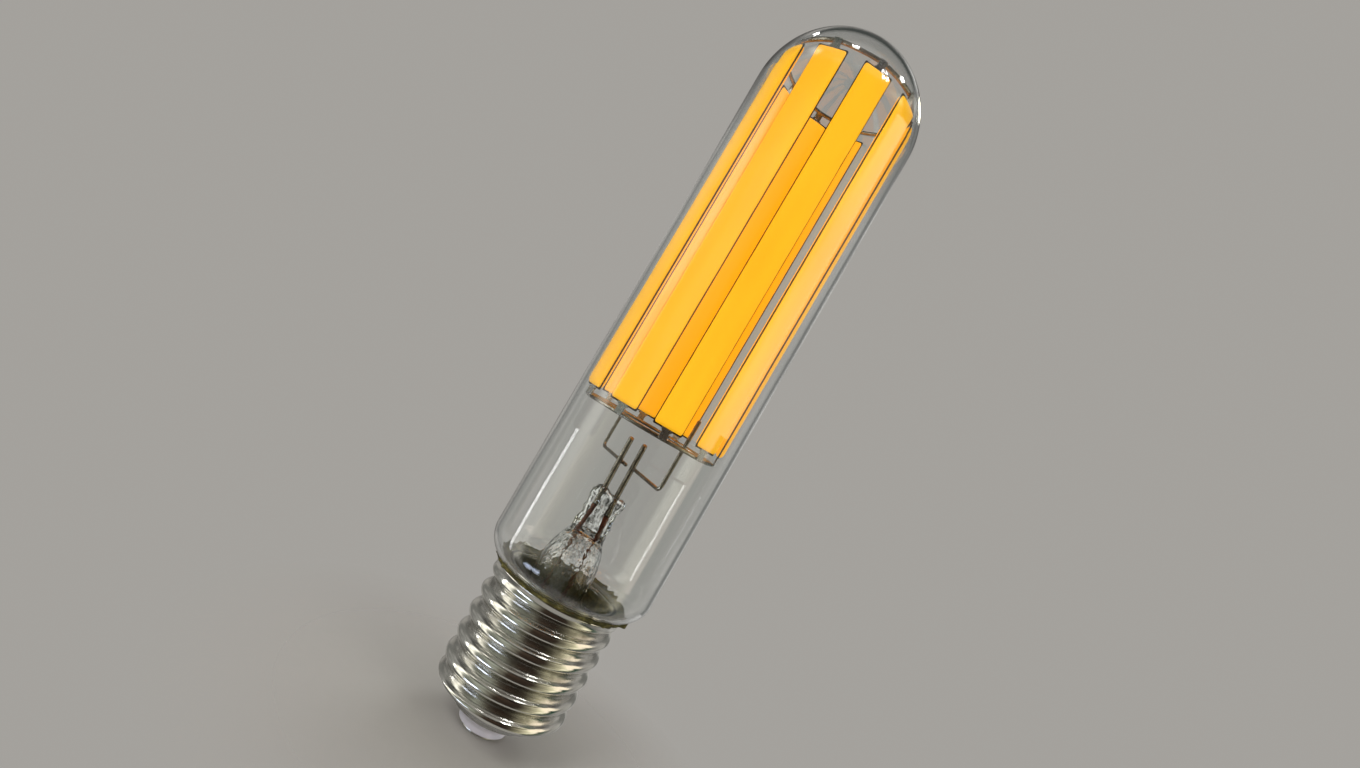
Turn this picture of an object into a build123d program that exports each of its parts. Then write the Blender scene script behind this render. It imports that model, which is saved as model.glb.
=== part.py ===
from build123d import *
import math
import os

# Clear tubular LED filament lamp on a 40 mm screw cap.
# Frame: +Z runs from the end contact to the dome, the origin is the centre of the contact's
# outer face, and -Y is the side that shows the split of the lower ring on its left.
# All sizes are millimetres and degrees.

# Overall
OVERALL_LENGTH = 223.6
LOOSE = 0.05
SNUG = 0.02

# Glass tube: a straight tube with a half-round dome and a drawn-in neck
TUBE_R = 24.8
TUBE_WALL = 1.0
NECK_R = 16.0
NECK_FILLET = 0.7
NECK_LENGTH = 8.8
SHOULDER_GAP = 0.1

# Screw shell: thin sheet with a rolled round thread
THREAD_CREST_R = 19.65
THREAD_DEPTH = 1.85
THREAD_PITCH = 6.35
THREAD_PHASE_Z = 6.4
SHEET = 0.45
RIM_Z = 44.7
RIM_R = 20.2
COLLAR_R = 19.4
COLLAR_HEIGHT = 3.1
COLLAR_PLUG_GAP = 0.3
FLARE_HEIGHT = 2.0
HEEL_Z = 8.9
HEEL_R = 16.2
HEEL_STEP = 0.7
HEEL_RISE = 4.6
HEEL_SLOPE_SHARE = 0.6
HEEL_OVERLAP = 3.0
SEAT_Z = 5.6
SEAT_R = 11.6
SEAT_LIP = 0.6
CREST_MARGIN = 0.5
CUT_MARGIN = 1.0

# Insulator and end contact
BOSS_R = 7.4
BOSS_WAIST_Z = 2.4
BOSS_FLOOR = 1.4
BOSS_TOP_RISE = 0.9
BOSS_EDGE = 0.4
BOSS_WELL_FLARE = 1.5
INSULATOR_SEAT_DROP = 0.2
INSULATOR_SHELF_GAP = 0.6
INSULATOR_SHELF_RISE = 0.45
WIRE_HOLE_R = 1.1
CONTACT_R = 6.4
CONTACT_THICKNESS = 0.8
CONTACT_EDGE = 0.25
CONTACT_HUB_R = 2.4
CONTACT_HUB_HEIGHT = 1.3
CONTACT_LEDGE = 0.1

# Cement between glass and shell
CEMENT_DEPTH = 7.6
CEMENT_SQUEEZE = 0.35
CEMENT_TOP_RISE = 3.0
CEMENT_EASE = 0.05

# Glass stem: flare, tube and press
STEM_R = 8.5
STEM_WALL = 0.9
STEM_FLARE_HEIGHT = 11.0
STEM_FLARE_CURVE = 2.6
STEM_FLARE_STEPS = 8
STEM_TUBE_TOP_Z = 54.5
PRESS_FOOT_Z = 61.0
PRESS_WAIST_Z = 66.9
PRESS_HEAD_Z = 72.2
PRESS_TOP_Z = 74.2
PRESS_FOOT = (5.5, 3.5)
PRESS_WAIST = (4.7, 2.4)
PRESS_HEAD = (5.3, 2.5)
PRESS_TOP = (4.4, 1.6)
PRESS_LOBE_R = 2.0
PRESS_LOBE_OUT = 0.3
PRESS_SHOULDER = (0.93, 0.72)
PRESS_SHOULDER_RISE = 0.3
EXHAUST_R = 2.1
EXHAUST_WALL = 0.55
EXHAUST_TIP_Z = 26.5
EXHAUST_TIP_LENGTH = 3.5
EXHAUST_TOP_GAP = 0.6

# Mount of wires and cage: it leans a touch towards -X at its foot
LEAN_DEG = 0.45
LEAN_PIVOT_BELOW_TOP = 3.6

# Wires of the stem
LEAD_WIRE_R = 0.72
LEAD_SPACING = 4.36
LEAD_TOP_DRIFT = -0.65
LEAD_LEFT_FOOT_Z = 69.5
LEAD_RIGHT_FOOT_Z = 68.0
LEAD_TOP_Z = 90.6
SEAL_WIRE_R = 0.55
SEAL_WIRE_SPREAD = 5.5
SEAL_WIRE_FOOT_Z = 60.6
OUTER_LEAD_R = 0.3
OUTER_LEAD_SPLAY = 0.6
OUTER_LEAD_DROP = 1.5
OUTER_LEAD_KNEE = 6.0
OUTER_LEAD_BEND_R = 2.0
OUTER_LEAD_STAGGER = 1.0

# Cage rings and feed wires
RING_TO_GLASS = 3.5
RING_WIRE_R = 0.5
DOME_GAP = 0.45
LOWER_RING_Z = 95.6
RING_SPLIT_DEG = -76.6
RING_SPLIT_GAP = 1.6
FEED_WIRE_R = 0.475
FEED_BEND_R = 1.6
FEED_Z = 83.4
FEED_FRONT_DEG = 33.0
FEED_FRONT_OVERSHOOT = 8.6
FEED_BACK_DEG = -150.0
FEED_BACK_OVERSHOOT = 0.4
FEED_CUT_END = 2.2

# LED filaments
FILAMENT_COUNT = 10
FILAMENT_FIRST_DEG = -168.5
SUBSTRATE_WIDTH = 8.5
SUBSTRATE_THICKNESS = 0.4
TAB_WIDTH = 2.3
TAB_THICKNESS = 0.25
TAB_LENGTH = 2.5
TAB_OVERLAP = 0.2
PHOSPHOR_HEIGHT = 1.05
PHOSPHOR_SIDE_MARGIN = 0.2
PHOSPHOR_END_MARGIN = 0.45
PHOSPHOR_ROUNDING = 0.55
PHOSPHOR_EDGE_SHARE = 0.35
CHIP_COUNT = 24
CHIP_LENGTH = 1.1
CHIP_WIDTH = 0.6
CHIP_HEIGHT = 0.2
CHIP_CHANNEL_CLEARANCE = 0.1
CHIP_END_MARGIN = 1.6

# Driver inside the cap
BOARD_R = 14.2
BOARD_THICKNESS = 1.2
BOARD_HOLE_R = 1.1
CAPACITOR_R = 4.0
CAPACITOR_HEIGHT = 11.0
CAPACITOR_AT = (-6.8, 6.6)
INDUCTOR_R = 3.6
INDUCTOR_HEIGHT = 8.0
INDUCTOR_FLANGE = 1.0
INDUCTOR_WAIST_R = 2.2
WINDING_BELOW_FLANGE = 0.4
INDUCTOR_AT = (5.2, 6.8)
BRIDGE_SIZE = (4.9, 6.2, 2.4)
BRIDGE_AT = (5.6, -6.2)
CHIP_PACKAGE_SIZE = (3.9, 4.9, 1.5)
CHIP_PACKAGE_AT = (-4.6, -7.0)
PACKAGE_EDGE = 0.3
FUSE_R = 1.3
FUSE_LENGTH = 6.5
FUSE_STANDOFF = 1.0
SLEEVE_GAP = 0.1
SLEEVE_WALL = 0.25
SLEEVE_PAST_FUSE = 0.8
HOOKUP_WIRE_R = 0.3
HOOKUP_BEND_R = 1.0
SHELL_WIRE_AT_R = 12.6
SHELL_WIRE_RISE = 3.0
SHELL_WIRE_RUN = 9.0
OUTER_LEAD_AT = 10.6

# Worked out from the sizes above
FROM_BELOW = (Align.CENTER, Align.CENTER, Align.MIN)
DOME_Z = OVERALL_LENGTH - TUBE_R
LEAN_PIVOT_Z = OVERALL_LENGTH - LEAN_PIVOT_BELOW_TOP
SHOULDER_Z = RIM_Z + SHOULDER_GAP
NECK_BOTTOM_Z = SHOULDER_Z - NECK_LENGTH
SHOULDER_R = TUBE_R - NECK_R - NECK_FILLET
THREAD_ROOT_R = THREAD_CREST_R - THREAD_DEPTH
THREAD_ARC_R = (THREAD_DEPTH**2 + THREAD_PITCH**2 / 4) / (4 * THREAD_DEPTH)
THREAD_TOP_Z = RIM_Z - COLLAR_HEIGHT
BOSS_TOP_Z = HEEL_Z + SHEET + BOSS_TOP_RISE
BOARD_TOP_Z = BOSS_TOP_Z + BOARD_THICKNESS
RING_R = TUBE_R - TUBE_WALL - RING_TO_GLASS
UPPER_RING_Z = DOME_Z + math.sqrt((TUBE_R - TUBE_WALL - DOME_GAP - RING_WIRE_R) ** 2 - RING_R**2)
FILAMENT_R = RING_R + RING_WIRE_R + SNUG
FILAMENT_LOW_Z = LOWER_RING_Z + TAB_LENGTH
FILAMENT_HIGH_Z = UPPER_RING_Z - TAB_LENGTH
FILAMENT_PITCH_DEG = 360 / FILAMENT_COUNT
FEED_R = RING_R - RING_WIRE_R - FEED_WIRE_R - SNUG
MOUNT = Pos(0, 0, LEAN_PIVOT_Z) * Rot(0, LEAN_DEG, 0) * Pos(0, 0, -LEAN_PIVOT_Z)


def polar(radius, degrees, z=0.0):
    """A point at a radius and an angle from -Y towards +X."""
    angle = math.radians(degrees)
    return (radius * math.sin(angle), -radius * math.cos(angle), z)


def lean_x(z):
    """How far the leaning mount's axis stands from the lamp's axis at a height."""
    return -(LEAN_PIVOT_Z - z) * math.tan(math.radians(LEAN_DEG))


def seated(point):
    """A point of the leaning mount in the lamp's frame."""
    return tuple((MOUNT * Pos(*point)).position)


def line(start, end):
    return Line((start[0], 0, start[1]), (end[0], 0, end[1]))


def arc(centre, radius, start_deg, end_deg):
    """An arc in the XZ plane, its angles counted from +X towards +Z."""
    points = []
    for degrees in (start_deg, (start_deg + end_deg) / 2, end_deg):
        angle = math.radians(degrees)
        points.append((centre[0] + radius * math.cos(angle), 0, centre[1] + radius * math.sin(angle)))
    return ThreePointArc(*points)


def turned(outline):
    """The solid of revolution of a closed outline of (radius, height) points."""
    points = [(radius, 0, z) for radius, z in outline]
    return revolve(Face(Wire(Polyline(*points, close=True))), axis=Axis.Z)


def turned_edges(edges):
    return revolve(Face(Wire(edges)), axis=Axis.Z)


def rod(start, end, radius):
    """A straight round wire between two points."""
    axis = Vector(*end) - Vector(*start)
    return Solid.make_cylinder(radius, axis.length, Plane(origin=start, z_dir=axis))


def bent_wire(points, radius, bend_radius):
    path = FilletPolyline(*points, radius=bend_radius)
    section = Plane(origin=path @ 0, z_dir=path % 0) * Circle(radius)
    return sweep(section, path=path)


# Glass tube


def glass_body(inset, low_z):
    """The tube's outer form, drawn in by an inset on every side."""
    tube = TUBE_R - inset
    neck = NECK_R - inset
    shelf = SHOULDER_Z + inset
    hollow = NECK_FILLET + inset
    round_r = SHOULDER_R - inset
    return turned_edges([
        line((0, low_z), (neck, low_z)),
        line((neck, low_z), (neck, shelf - hollow)),
        arc((neck + hollow, shelf - hollow), hollow, 180, 90),
        arc((tube - round_r, shelf + round_r), round_r, -90, 0),
        line((tube, shelf + round_r), (tube, DOME_Z)),
        arc((0, DOME_Z), tube, 0, 90),
        line((0, DOME_Z + tube), (0, low_z)),
    ])


def glass_envelope():
    return glass_body(0, NECK_BOTTOM_Z) - glass_body(TUBE_WALL, NECK_BOTTOM_Z - CUT_MARGIN)


# Screw shell


def thread_profile(inset):
    """The rolled thread from root to root over one crest: three tangent arcs, drawn in."""
    half = THREAD_PITCH / 2
    crest_arc = THREAD_ARC_R - inset
    root_arc = THREAD_ARC_R + inset
    crest_centre = (THREAD_CREST_R - THREAD_ARC_R, half)
    root_r = THREAD_ROOT_R + THREAD_ARC_R
    tilt = math.degrees(math.asin(half / (2 * THREAD_ARC_R)))
    return Pos(0, 0, THREAD_PHASE_Z - half) * Wire([
        arc((root_r, 0), root_arc, 180, 180 - tilt),
        arc(crest_centre, crest_arc, -tilt, tilt),
        arc((root_r, THREAD_PITCH), root_arc, 180 + tilt, 180),
    ])


def thread_surface(inset):
    """The thread as one skin of half turns, from below the cap to above its rim."""
    half = THREAD_PITCH / 2
    path = Pos(0, 0, THREAD_PHASE_Z - half) * Helix(THREAD_PITCH, half, THREAD_ROOT_R)
    half_turn = Solid.sweep(thread_profile(inset), path.edge(), make_solid=False, is_frenet=True)
    lowest = math.floor(-THREAD_PHASE_Z / half) - 1
    highest = math.ceil((RIM_Z - THREAD_PHASE_Z) / half) + 1
    faces = []
    for index in range(lowest, highest):
        place = Pos(0, 0, index * half) * Rot(0, 0, 180 * index)
        faces += [place * face for face in half_turn.faces()]
    return Shell(Face.sew_faces(faces)[0])


def shell_heel(inset):
    """The turned-in bottom: a step under the last thread and a slope down to the seat."""
    slope = inset * HEEL_SLOPE_SHARE
    top_z = HEEL_Z + HEEL_OVERLAP
    step_r = HEEL_R - HEEL_STEP - slope
    return turned([
        (0, SEAT_Z + inset),
        (SEAT_R - slope, SEAT_Z + inset),
        (step_r, HEEL_Z + inset),
        (step_r, top_z),
        (0, top_z),
    ])


def shell_limit(inset):
    """What the thread may not pass: the rounded heel and the level where the collar begins."""
    crest = THREAD_CREST_R + CREST_MARGIN - inset
    heel = HEEL_Z + inset
    heel_r = HEEL_R - inset * HEEL_SLOPE_SHARE
    top_z = THREAD_TOP_Z - inset
    return turned_edges([
        line((0, heel), (heel_r, heel)),
        Spline((heel_r, 0, heel), (crest, 0, heel + HEEL_RISE), tangents=((1, 0, 0.25), (0, 0, 1))),
        line((crest, heel + HEEL_RISE), (crest, top_z)),
        line((crest, top_z), (0, top_z)),
        line((0, top_z), (0, heel)),
    ])


def collar(inset):
    """The plain collar on the thread's level end, with its flared rim."""
    plain = COLLAR_R - inset
    rim = RIM_R - inset
    way = THREAD_ROOT_R - inset - COLLAR_PLUG_GAP
    plug_z = THREAD_TOP_Z - COLLAR_HEIGHT
    low_z = THREAD_TOP_Z + inset
    flare_z = RIM_Z - FLARE_HEIGHT
    return turned_edges([
        line((0, plug_z), (way, plug_z)),
        line((way, plug_z), (way, low_z)),
        line((way, low_z), (plain, low_z)),
        line((plain, low_z), (plain, flare_z)),
        Spline((plain, 0, flare_z), (rim, 0, RIM_Z), tangents=((0, 0, 1), (0.8, 0, 0.6))),
        line((rim, RIM_Z), (0, RIM_Z)),
        line((0, RIM_Z), (0, plug_z)),
    ])


def shell_body(inset):
    pieces = shell_limit(inset).split(thread_surface(inset), keep=Keep.ALL)
    threaded = pieces.sort_by(SortBy.VOLUME)[-1]
    return threaded + shell_heel(inset) + collar(inset)


def cap_shell():
    hole = Cylinder(SEAT_R - SEAT_LIP, HEEL_Z, align=FROM_BELOW)
    return shell_body(0) - shell_body(SHEET) - hole


# Insulator, contact and cement


def cap_insulator():
    bore = SEAT_R - SEAT_LIP - LOOSE
    inner_seat_z = SEAT_Z + SHEET + LOOSE
    slope = (HEEL_Z - SEAT_Z) / (HEEL_R - HEEL_STEP - SEAT_R)
    shelf_r = HEEL_R - HEEL_STEP - SHEET - INSULATOR_SHELF_GAP
    shelf_z = inner_seat_z + (shelf_r - (SEAT_R - SHEET)) * slope + INSULATOR_SHELF_RISE
    edge_r = BOSS_R - BOSS_EDGE
    edge_z = CONTACT_THICKNESS + BOSS_EDGE + CONTACT_LEDGE
    lip_z = SEAT_Z - INSULATOR_SEAT_DROP
    seat_r = SEAT_R - SHEET - CONTACT_LEDGE
    body = turned_edges([
        line((0, CONTACT_THICKNESS + LOOSE), (edge_r, CONTACT_THICKNESS + LOOSE)),
        line((edge_r, CONTACT_THICKNESS + LOOSE), (BOSS_R, edge_z)),
        line((BOSS_R, edge_z), (BOSS_R, BOSS_WAIST_Z)),
        Spline((BOSS_R, 0, BOSS_WAIST_Z), (bore, 0, lip_z), tangents=((0.2, 0, 1), (1, 0, 0.5))),
        line((bore, lip_z), (bore, inner_seat_z)),
        line((bore, inner_seat_z), (seat_r, inner_seat_z)),
        line((seat_r, inner_seat_z), (shelf_r, shelf_z)),
        line((shelf_r, shelf_z), (shelf_r, BOSS_TOP_Z)),
        line((shelf_r, BOSS_TOP_Z), (0, BOSS_TOP_Z)),
        line((0, BOSS_TOP_Z), (0, CONTACT_THICKNESS + LOOSE)),
    ])
    well_r = BOSS_R - BOSS_FLOOR
    well_z = CONTACT_THICKNESS + CONTACT_HUB_HEIGHT + BOSS_FLOOR
    open_z = BOSS_TOP_Z + CUT_MARGIN
    well = turned([(0, well_z), (well_r, well_z), (well_r + BOSS_WELL_FLARE, open_z), (0, open_z)])
    hub_height = CONTACT_THICKNESS + CONTACT_HUB_HEIGHT + LOOSE
    hub = Cylinder(CONTACT_HUB_R + LOOSE, hub_height, align=FROM_BELOW)
    wire_way = Cylinder(WIRE_HOLE_R, well_z + CUT_MARGIN, align=FROM_BELOW)
    return body - well - hub - wire_way


def end_contact():
    disc = Cylinder(CONTACT_R, CONTACT_THICKNESS, align=FROM_BELOW)
    disc = fillet(disc.edges().group_by(Axis.Z)[0], CONTACT_EDGE)
    hub = Cylinder(CONTACT_HUB_R, CONTACT_HUB_HEIGHT, align=FROM_BELOW)
    return disc + Pos(0, 0, CONTACT_THICKNESS) * hub


def cap_cement():
    """The ring of cement from the neck's foot up to the shoulder, squeezed out at the rim."""
    low_z = RIM_Z - CEMENT_DEPTH
    way = THREAD_ROOT_R - SHEET - COLLAR_PLUG_GAP - LOOSE
    plain = COLLAR_R - SHEET - LOOSE
    ledge_z = THREAD_TOP_Z + SHEET + LOOSE
    outside = RIM_R + CEMENT_SQUEEZE
    body = turned([
        (0, low_z), (way, low_z), (way, ledge_z), (plain, ledge_z), (plain, RIM_Z - FLARE_HEIGHT),
        (plain + CEMENT_EASE, RIM_Z - FLARE_HEIGHT / 2),
        (RIM_R - SHEET - 3 * CEMENT_EASE, RIM_Z + LOOSE), (outside - 2 * CEMENT_EASE, RIM_Z + LOOSE),
        (outside, RIM_Z + CEMENT_SQUEEZE), (outside - 6 * CEMENT_EASE, RIM_Z + CEMENT_TOP_RISE),
        (0, RIM_Z + CEMENT_TOP_RISE),
    ])
    return body - glass_body(-LOOSE, low_z - CUT_MARGIN)


# Glass stem


def oval_loft(rows):
    """A smooth glass body through ovals, each a height and its two half widths."""
    sections = []
    for z, half_x, half_y, shift in rows:
        sections.append(Plane(origin=(shift, 0, z)) * Ellipse(half_x, half_y))
    return loft(sections)


def flare_rows(inset, low_extra):
    """The flare opens from the stem tube to the neck's inner wall."""
    rim_r = NECK_R - TUBE_WALL - LOOSE
    rows = []
    for index in range(STEM_FLARE_STEPS + 1):
        share = index / STEM_FLARE_STEPS
        radius = STEM_R + (rim_r - STEM_R) * (1 - share) ** STEM_FLARE_CURVE - inset
        z = NECK_BOTTOM_Z + STEM_FLARE_HEIGHT * share
        rows.append((z, radius, radius, lean_x(z) * (1 - (1 - share) ** 2)))
    if low_extra:
        rows[0] = (rows[0][0] - low_extra, rows[0][1], rows[0][2], rows[0][3])
    return rows


def stem_tube(radius):
    low_z = NECK_BOTTOM_Z + STEM_FLARE_HEIGHT
    start = (lean_x(low_z), 0, low_z)
    end = (lean_x(STEM_TUBE_TOP_Z), 0, STEM_TUBE_TOP_Z)
    return loft([Plane(origin=start) * Circle(radius), Plane(origin=end) * Circle(radius)])


def press_rows(inset):
    shoulder = (STEM_TUBE_TOP_Z + PRESS_FOOT_Z) / 2 + PRESS_SHOULDER_RISE
    rows = [
        (STEM_TUBE_TOP_Z, STEM_R, STEM_R),
        (shoulder, STEM_R * PRESS_SHOULDER[0], STEM_R * PRESS_SHOULDER[1]),
        (PRESS_FOOT_Z, *PRESS_FOOT),
    ]
    return [(z, half_x - inset, half_y - inset, lean_x(z)) for z, half_x, half_y in rows]


def stem_press():
    rows = [(PRESS_FOOT_Z, *PRESS_FOOT), (PRESS_WAIST_Z, *PRESS_WAIST), (PRESS_HEAD_Z, *PRESS_HEAD),
            (PRESS_TOP_Z, *PRESS_TOP)]
    press = oval_loft([(z, half_x, half_y, lean_x(z)) for z, half_x, half_y in rows])
    for side in (-1, 1):
        lobe_x = lean_x(PRESS_HEAD_Z) + side * (PRESS_HEAD[0] - PRESS_LOBE_R + PRESS_LOBE_OUT)
        press += Pos(lobe_x, 0, PRESS_HEAD_Z) * Sphere(PRESS_LOBE_R)
    return press


def stem_glass():
    outer = oval_loft(flare_rows(0, 0)) + stem_tube(STEM_R) + oval_loft(press_rows(0))
    hollow = oval_loft(flare_rows(STEM_WALL, CUT_MARGIN / 2)) + stem_tube(STEM_R - STEM_WALL)
    hollow += oval_loft(press_rows(STEM_WALL))
    stem = outer + stem_press() - hollow
    for side in (-1, 1):
        stem -= lead_wire(side, LOOSE) + seal_wire(side, LOOSE)
    return stem


def exhaust_tube():
    """The pumping tube inside the stem, melted shut to a point."""
    top_z = PRESS_FOOT_Z - STEM_WALL - EXHAUST_TOP_GAP
    inner = EXHAUST_R - EXHAUST_WALL
    shut_z = EXHAUST_TIP_Z + EXHAUST_TIP_LENGTH
    tube = turned([
        (0, EXHAUST_TIP_Z), (EXHAUST_R * 0.35, EXHAUST_TIP_Z + 0.3), (EXHAUST_R, shut_z),
        (EXHAUST_R, top_z), (inner, top_z), (inner, shut_z + 0.6), (0, EXHAUST_TIP_Z + 1.6),
    ])
    return MOUNT * tube


# Wires


def lead_foot(side):
    return (side * LEAD_SPACING / 2, 0, LEAD_LEFT_FOOT_Z if side < 0 else LEAD_RIGHT_FOOT_Z)


def lead_at(side, z):
    """A point on a lead wire's axis, in the mount's frame."""
    foot = lead_foot(side)
    share = (z - foot[2]) / (LEAD_TOP_Z - foot[2])
    return (foot[0] + LEAD_TOP_DRIFT * share, 0, z)


def lead_wire(side, extra=0.0):
    return MOUNT * rod(lead_foot(side), lead_at(side, LEAD_TOP_Z), LEAD_WIRE_R + extra)


def seal_foot(side):
    return (side * SEAL_WIRE_SPREAD / 2, 0, SEAL_WIRE_FOOT_Z)


def seal_wire(side, extra=0.0):
    foot, head = seal_foot(side), lead_foot(side)
    return MOUNT * rod(foot, (head[0], head[1], head[2] - SNUG), SEAL_WIRE_R + extra)


def outer_lead(side):
    """The thin tail from the seal wire down through the stem to the driver board."""
    foot = seal_foot(side)
    start = seated((foot[0], 0, foot[2] - SNUG - OUTER_LEAD_R))
    drop = seated((foot[0] + side * OUTER_LEAD_SPLAY, 0, NECK_BOTTOM_Z - OUTER_LEAD_DROP))
    end = (side * OUTER_LEAD_AT, -side * OUTER_LEAD_STAGGER, BOARD_TOP_Z + SNUG)
    knee = (end[0], end[1], end[2] + OUTER_LEAD_KNEE)
    return bent_wire([start, drop, knee, end], OUTER_LEAD_R, OUTER_LEAD_BEND_R)


def feed_wire_front():
    """From the right lead out under the ring, up past it on the inside."""
    bend = polar(FEED_R, FEED_FRONT_DEG, FEED_Z)
    lead = lead_at(1, FEED_Z)
    run = (Vector(*bend) - Vector(*lead)).normalized()
    start = Vector(*lead) + run * (LEAD_WIRE_R + SNUG)
    top = polar(FEED_R, FEED_FRONT_DEG, LOWER_RING_Z + FEED_FRONT_OVERSHOOT)
    return MOUNT * bent_wire([start, bend, top], FEED_WIRE_R, FEED_BEND_R)


def feed_wire_back():
    """It crosses behind the left lead, with a cut end past it, and rises to the ring."""
    bend = Vector(*polar(FEED_R, FEED_BACK_DEG, FEED_Z))
    behind = LEAD_WIRE_R + FEED_WIRE_R + SNUG
    lead = Vector(*lead_at(-1, FEED_Z))
    reach = math.hypot(bend.X - lead.X, bend.Y)
    heading = math.atan2(bend.Y, bend.X - lead.X) + math.asin(behind / reach)
    run = Vector(math.cos(heading), math.sin(heading), 0)
    touch = lead + Vector(-run.Y, run.X, 0) * -behind
    start = touch - run * FEED_CUT_END
    top = polar(FEED_R, FEED_BACK_DEG, LOWER_RING_Z + FEED_BACK_OVERSHOOT)
    return MOUNT * bent_wire([start, bend, top], FEED_WIRE_R, FEED_BEND_R)


# Cage rings


def ring_arc(z, start_deg, sweep_deg):
    """A round wire bent to part of a ring, its angles counted from -Y towards +X."""
    section = Plane.XZ * Pos(RING_R, z) * Circle(RING_WIRE_R)
    return MOUNT * Rot(0, 0, start_deg - 90) * revolve(section, axis=Axis.Z, revolution_arc=sweep_deg)


def lower_ring(half):
    gap_deg = math.degrees(RING_SPLIT_GAP / RING_R)
    start = RING_SPLIT_DEG + 180 * half + gap_deg / 2
    return ring_arc(LOWER_RING_Z, start, 180 - gap_deg)


def upper_ring():
    return ring_arc(UPPER_RING_Z, 0, 360)


# LED filaments


def filament_seat(number):
    """The place of a filament: local x across it, local y radially inward, z along it."""
    degrees = FILAMENT_FIRST_DEG + FILAMENT_PITCH_DEG * (number - 1)
    return MOUNT * Rot(0, 0, degrees) * Pos(0, -FILAMENT_R, 0)


def strip(width, thickness, low_z, high_z, outward):
    """A flat strip whose inner face stands outward of the filament's seat."""
    box = Box(width, thickness, high_z - low_z, align=(Align.CENTER, Align.MAX, Align.MIN))
    return Pos(0, -outward, low_z) * box


def filament_substrate(number):
    plate = strip(SUBSTRATE_WIDTH, SUBSTRATE_THICKNESS, FILAMENT_LOW_Z, FILAMENT_HIGH_Z, 0)
    return filament_seat(number) * plate


def filament_tabs(number):
    low = strip(TAB_WIDTH, TAB_THICKNESS, LOWER_RING_Z - TAB_OVERLAP, FILAMENT_LOW_Z, 0)
    high = strip(TAB_WIDTH, TAB_THICKNESS, FILAMENT_HIGH_Z, UPPER_RING_Z + TAB_OVERLAP, 0)
    return Compound(children=[filament_seat(number) * low, filament_seat(number) * high])


def phosphor_bead():
    """A crowned bead with rounded ends, its flat face on the XZ plane, crown towards -Y."""
    half = SUBSTRATE_WIDTH / 2 - PHOSPHOR_SIDE_MARGIN
    low = FILAMENT_LOW_Z + PHOSPHOR_END_MARGIN
    high = FILAMENT_HIGH_Z - PHOSPHOR_END_MARGIN
    edge = PHOSPHOR_HEIGHT * PHOSPHOR_EDGE_SHARE
    outline = Wire([
        Line((-half, 0, low), (half, 0, low)),
        Line((half, 0, low), (half, -edge, low)),
        ThreePointArc((half, -edge, low), (0, -PHOSPHOR_HEIGHT, low), (-half, -edge, low)),
        Line((-half, -edge, low), (-half, 0, low)),
    ])
    bead = extrude(Face(outline), amount=high - low, dir=(0, 0, 1))
    return fillet(bead.edges().filter_by(GeomType.CIRCLE), PHOSPHOR_ROUNDING)


def filament_phosphor(number):
    """The bead over the chips and the bead on the plain side."""
    front = Pos(0, -SUBSTRATE_THICKNESS, 0) * phosphor_bead()
    low, high = chip_span()
    channel = strip(CHIP_WIDTH + 2 * CHIP_CHANNEL_CLEARANCE, CHIP_HEIGHT + CHIP_CHANNEL_CLEARANCE,
                    low - CHIP_CHANNEL_CLEARANCE, high + CHIP_CHANNEL_CLEARANCE, SUBSTRATE_THICKNESS)
    back = Rot(0, 0, 180) * phosphor_bead()
    seat = filament_seat(number)
    return Compound(children=[seat * (front - channel), seat * back])


def chip_span():
    margin = PHOSPHOR_END_MARGIN + CHIP_END_MARGIN
    return FILAMENT_LOW_Z + margin, FILAMENT_HIGH_Z - margin


def led_chips():
    """All light-emitting chips, in one row under each filament's outer bead."""
    low, high = chip_span()
    pitch = (high - low - CHIP_LENGTH) / (CHIP_COUNT - 1)
    chips = []
    for number in range(1, FILAMENT_COUNT + 1):
        seat = filament_seat(number)
        for index in range(CHIP_COUNT):
            z = low + pitch * index
            chips.append(seat * strip(CHIP_WIDTH, CHIP_HEIGHT, z, z + CHIP_LENGTH, SUBSTRATE_THICKNESS))
    return Compound(children=chips)


# Driver inside the cap


def standing(shape, spot, z):
    return Pos(spot[0], spot[1], z) * shape


def driver_board():
    board = Cylinder(BOARD_R, BOARD_THICKNESS, align=FROM_BELOW)
    hole = Cylinder(BOARD_HOLE_R, BOARD_THICKNESS, align=FROM_BELOW)
    return standing(board - hole, (0, 0), BOSS_TOP_Z)


def smoothing_capacitor():
    can = Cylinder(CAPACITOR_R, CAPACITOR_HEIGHT, align=FROM_BELOW)
    can = fillet(can.edges().group_by(Axis.Z)[-1], PACKAGE_EDGE)
    return standing(can, CAPACITOR_AT, BOARD_TOP_Z)


def inductor():
    top = INDUCTOR_HEIGHT
    body = turned([
        (0, 0), (INDUCTOR_R, 0), (INDUCTOR_R, INDUCTOR_FLANGE), (INDUCTOR_WAIST_R, INDUCTOR_FLANGE),
        (INDUCTOR_WAIST_R, top - INDUCTOR_FLANGE), (INDUCTOR_R, top - INDUCTOR_FLANGE),
        (INDUCTOR_R, top), (0, top),
    ])
    return standing(body, INDUCTOR_AT, BOARD_TOP_Z)


def inductor_winding():
    low = INDUCTOR_FLANGE + SNUG
    high = INDUCTOR_HEIGHT - INDUCTOR_FLANGE - SNUG
    inner = INDUCTOR_WAIST_R + SNUG
    outer = INDUCTOR_R - WINDING_BELOW_FLANGE
    ring = turned([(inner, low), (outer, low), (outer, high), (inner, high)])
    return standing(ring, INDUCTOR_AT, BOARD_TOP_Z)


def package(size, spot):
    body = Box(*size, align=FROM_BELOW)
    body = chamfer(body.edges().group_by(Axis.Z)[-1], PACKAGE_EDGE)
    return standing(body, spot, BOARD_TOP_Z)


def fuse_low_z():
    return BOARD_TOP_Z + FUSE_STANDOFF


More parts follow.
